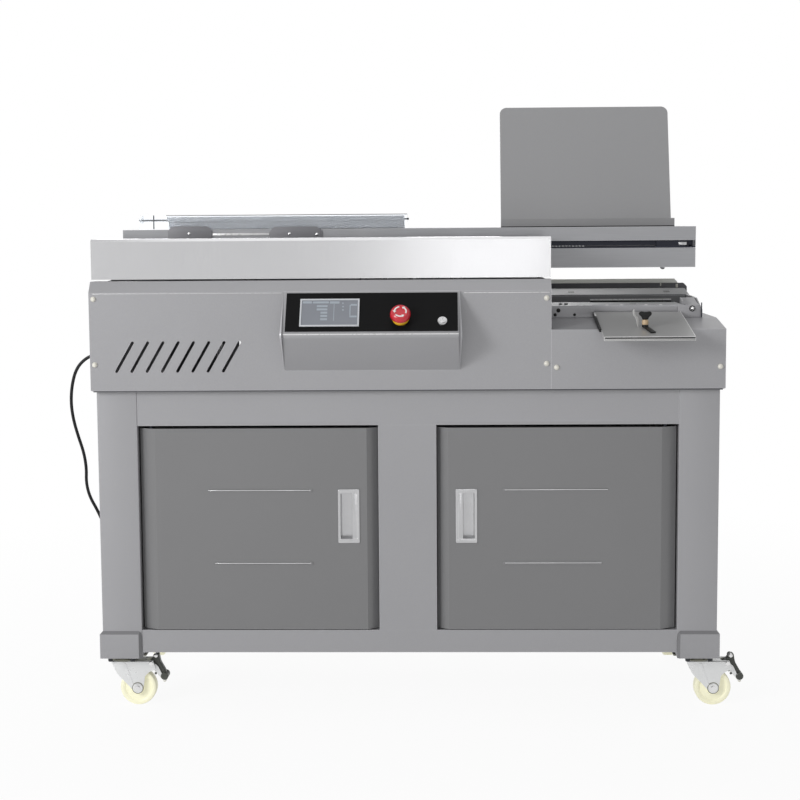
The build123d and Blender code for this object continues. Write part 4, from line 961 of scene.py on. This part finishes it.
# nip_bar_line is a painted highlight, a near-white strip along the bar's top edge; nip_bar_seam is painted
# shade, a black strip for the shadow line under it
for name, y, low, high, look in (("line", 0.3222, 0.8234, 0.8262, "bright_edge"),
                                 ("seam", 0.3224, 0.8196, 0.8224, "knob_black")):
    strip("nip_bar_" + name, (0.394, y, low), (0.57, 0.3232, high), 0.0003, look, "nip_table", "machined")
# painted shade: the slots are black inlays for their dark, shaded insides
slotLine = [(0.358, 0.8391), (0.372, 0.8413), (0.372, 0.8421), (0.358, 0.8399)]
restSlots = [plate([slotLine], 0.0128, 0.0002, endOn(x)) for x in (0.356, 0.565)]
finished(restSlots, "rest_slots", "root", "machined", look="knob_black")
rod = turned([(0.0012, 0.797), (0.0012, 0.826), (0.0008, 0.8275)], at(0.6035, 0.1125, 0), sides=16)
finished(rod, "station_pin", look="dark_steel")
print("nipping station made")

# cover tray with its strips, pin, folds, wing knob and hook, its painted highlights and the knob's painted
# reflection
tray = dict(x0=0.384, x1=0.561, back=0.118, front=-0.094, backZ=0.8095, frontZ=0.7715, knob=(0.472, -0.022))
x0, x1, front, frontZ = (tray[k] for k in ("x0", "x1", "front", "frontZ"))
tilt = math.atan2(tray["backZ"] - frontZ, tray["back"] - front)


def onTray(x, y, h=0.0):  # on the tray's own slope, h above it
    z = frontZ + (y - front) * math.tan(tilt)
    return Matrix.Translation(at(x, y, z)) @ Matrix.Rotation(tilt, 4, "X") @ Matrix.Translation((0, 0, h))


edgeStrip = laid(box((-0.0045, -0.076, -0.004), (0.0005, 0.07, 0.0025), 0.001), onTray(x0, 0.034))
# painted reflection: a black strip on the glossy tray in front of the wing knob stands for the knob's
# reflection
knobReflection = laid(box((-0.0055, -0.03, 0.0002), (0.0055, 0.022, 0.0032), 0.0012), onTray(0.4765, -0.038) @
             Matrix.Rotation(math.radians(12), 4, "Z"))
lip = box(at(x0 + 0.002, front - 0.0024, frontZ - 0.0036),
          at(x1 - 0.001, front - 0.0012, frontZ - 0.001), 0.0003)
finished([edgeStrip, knobReflection, lip], "tray_strips", "root", "lid_metal", look="knob_black")
# painted highlights: near-white strips along the tray's right edge and its front fold; the pin is a small
# bright pin at its left edge
pin = laid(box((-0.002, -0.012, 0.0), (0.0016, 0.012, 0.0038), 0.0009, 3), onTray(x0 - 0.001, 0.082))
edge = laid(box((-0.0012, -0.104, -0.0002), (0.0002, 0.104, 0.0007), 0.0003), onTray(x1, 0.012))
foldEdge = box(at(x0 + 0.001, front - 0.0022, frontZ - 0.0007),
               at(x1 - 0.001, front - 0.001, frontZ + 0.0004), 0.0003)
finished([pin, edge, foldEdge], "tray_bright_edge", "root", "lid_metal", look="bright_edge")
strip("tray_front_fold", (x0 + 0.0004, front - 0.0024, frontZ - 0.0078),
      (x1 - 0.0002, front - 0.0012, frontZ - 0.0037), 0.0003, "tray_paint", slot="lid_metal")
kx, ky = tray["knob"]
base = frontZ + (ky - front) * math.tan(tilt)
wing = [turned([(0.003, -0.006), (0.003, 0.0012), (0.0062, 0.0014), (0.0065, 0.0024), (0.0062, 0.006)],
               at(kx, ky, base), sides=32)]
wingLine = [(-0.006, 0.0), (0.006, 0.0), (0.0068, 0.005), (0.0122, 0.009), (0.013, 0.014), (0.0085, 0.0165),
            (0.0, 0.015), (-0.0085, 0.0165), (-0.013, 0.014), (-0.0122, 0.009), (-0.0068, 0.005)]
wing.append(plate([wingLine], 0.0078, 0.0016, upright(kx, ky, base + 0.0162), corner=0.003))
finished(wing, "tray_knob_wing", "tray_knob", "knob_black", ("tray_knob",), angle=40)
collarRings = [(0.0052, 0.0058), (0.0062, 0.0064), (0.0064, 0.014), (0.0056, 0.0158)]
collarKnob = turned(collarRings, at(kx, ky, base), sides=32)
finished(collarKnob, "tray_knob_collar", "tray_knob", "knob_black", look="collar_tan", angle=40)
hookLine = [(-0.0235, 0.034), (-0.0195, 0.037), (-0.0185, 0.028), (-0.015, 0.022), (-0.0112, 0.019),
            (-0.0112, 0.0), (-0.014, 0.0), (-0.018, 0.018), (-0.0235, 0.026)]
hook = plate([hookLine], 0.005, 0.0008, upright(kx, ky + 0.012, base), corner=0.002)
finished(hook, "tray_hook", "root", "lid_metal", look="tray_paint")
print("tray made")

# working units under the lid, seen when it is open
units = dict(millX=0.06, bookY=0.293, fins=11, finLow=0.704, finHigh=0.836)
fins = []
for i in range(units["fins"]):
    z = units["finLow"] + (units["finHigh"] - units["finLow"]) * i / (units["fins"] - 1)
    fins.append(turned([(0.0455, z - 0.0014), (0.052, z - 0.001), (0.052, z + 0.001), (0.0455, z + 0.0014)],
                       at(units["millX"], units["bookY"], 0), sides=48))
fins.append(box(at(0.11, 0.268, 0.735), at(0.138, 0.318, 0.8), 0.004, 3))
for x in (0.008, 0.112):
    for y in (0.24, 0.346):
        fins.append(hexBolt(at(x, y, 0.6898), up, 0.01, 0.006))
finished(fins, "motor_fins", "root", "motor_enamel")
strip("glue_pool", (-0.4165, 0.2495, 0.8035), (-0.1735, 0.3365, 0.8215), 0.001, "glue", slot="bright_steel")
tankBits = [box(at(-0.4205, 0.24, 0.856), at(-0.1695, 0.2462, 0.86), 0.0008)]
for x in (-0.41, -0.3, -0.18):
    tankBits.append(disc(at(x, 0.2462, 0.815), -toBack, 0.0045, 0.003))
finished(tankBits, "tank_fittings", "root", "bright_steel", look="zinc")

# screws on the back, ribs on the cord's gland
backRows = (((-0.615, -0.32, -0.02, 0.272), 0.4648, (0.69, 0.925)), ((0.44, 0.615), 0.4648, (0.69, 0.78)),
            ((-0.53, -0.18, 0.18, 0.53), 0.4448, (0.185, 0.6)))
backPlaces = [(x, y, z) for across, y, heights in backRows for x in across for z in heights]
backScrews = domes(backPlaces, toBack, 0.005, 0.0024)
finished(backScrews, "back_screws", look="zinc")
rings = [turned([(0.005 + 0.0003 * i, 0.0), (0.0068 + 0.0003 * i, 0.0006), (0.0068 + 0.0003 * i, 0.0018),
                 (0.005 + 0.0003 * i, 0.0024)], at(-0.665 + 0.0042 * i, 0.3, 0.713), toRight, sides=32)
         for i in range(6)]
finished(rings, "gland_ribs", "root", "cord_black", angle=50)
print("inner units and back made")

# finishes on the pieces that stay as they are
looks = {"backrest_plate": "plate_paint", "cover_tray": "tray_paint", "carriage_rails": "dark_steel",
         "hinge_pins": "dark_steel", "cover_rest": "rest_metal", "nip_table": "rest_metal",
         "key_rotor": "soft_chrome", "carriage_frame": "dark_steel"}
for part in frame["record"]["subparts"]:
    node = frame["nodes"][part["node"]]
    node.data.materials.clear()
    node.data.materials.append(finishOf(looks.get(part["node"], part["material_slot"])))
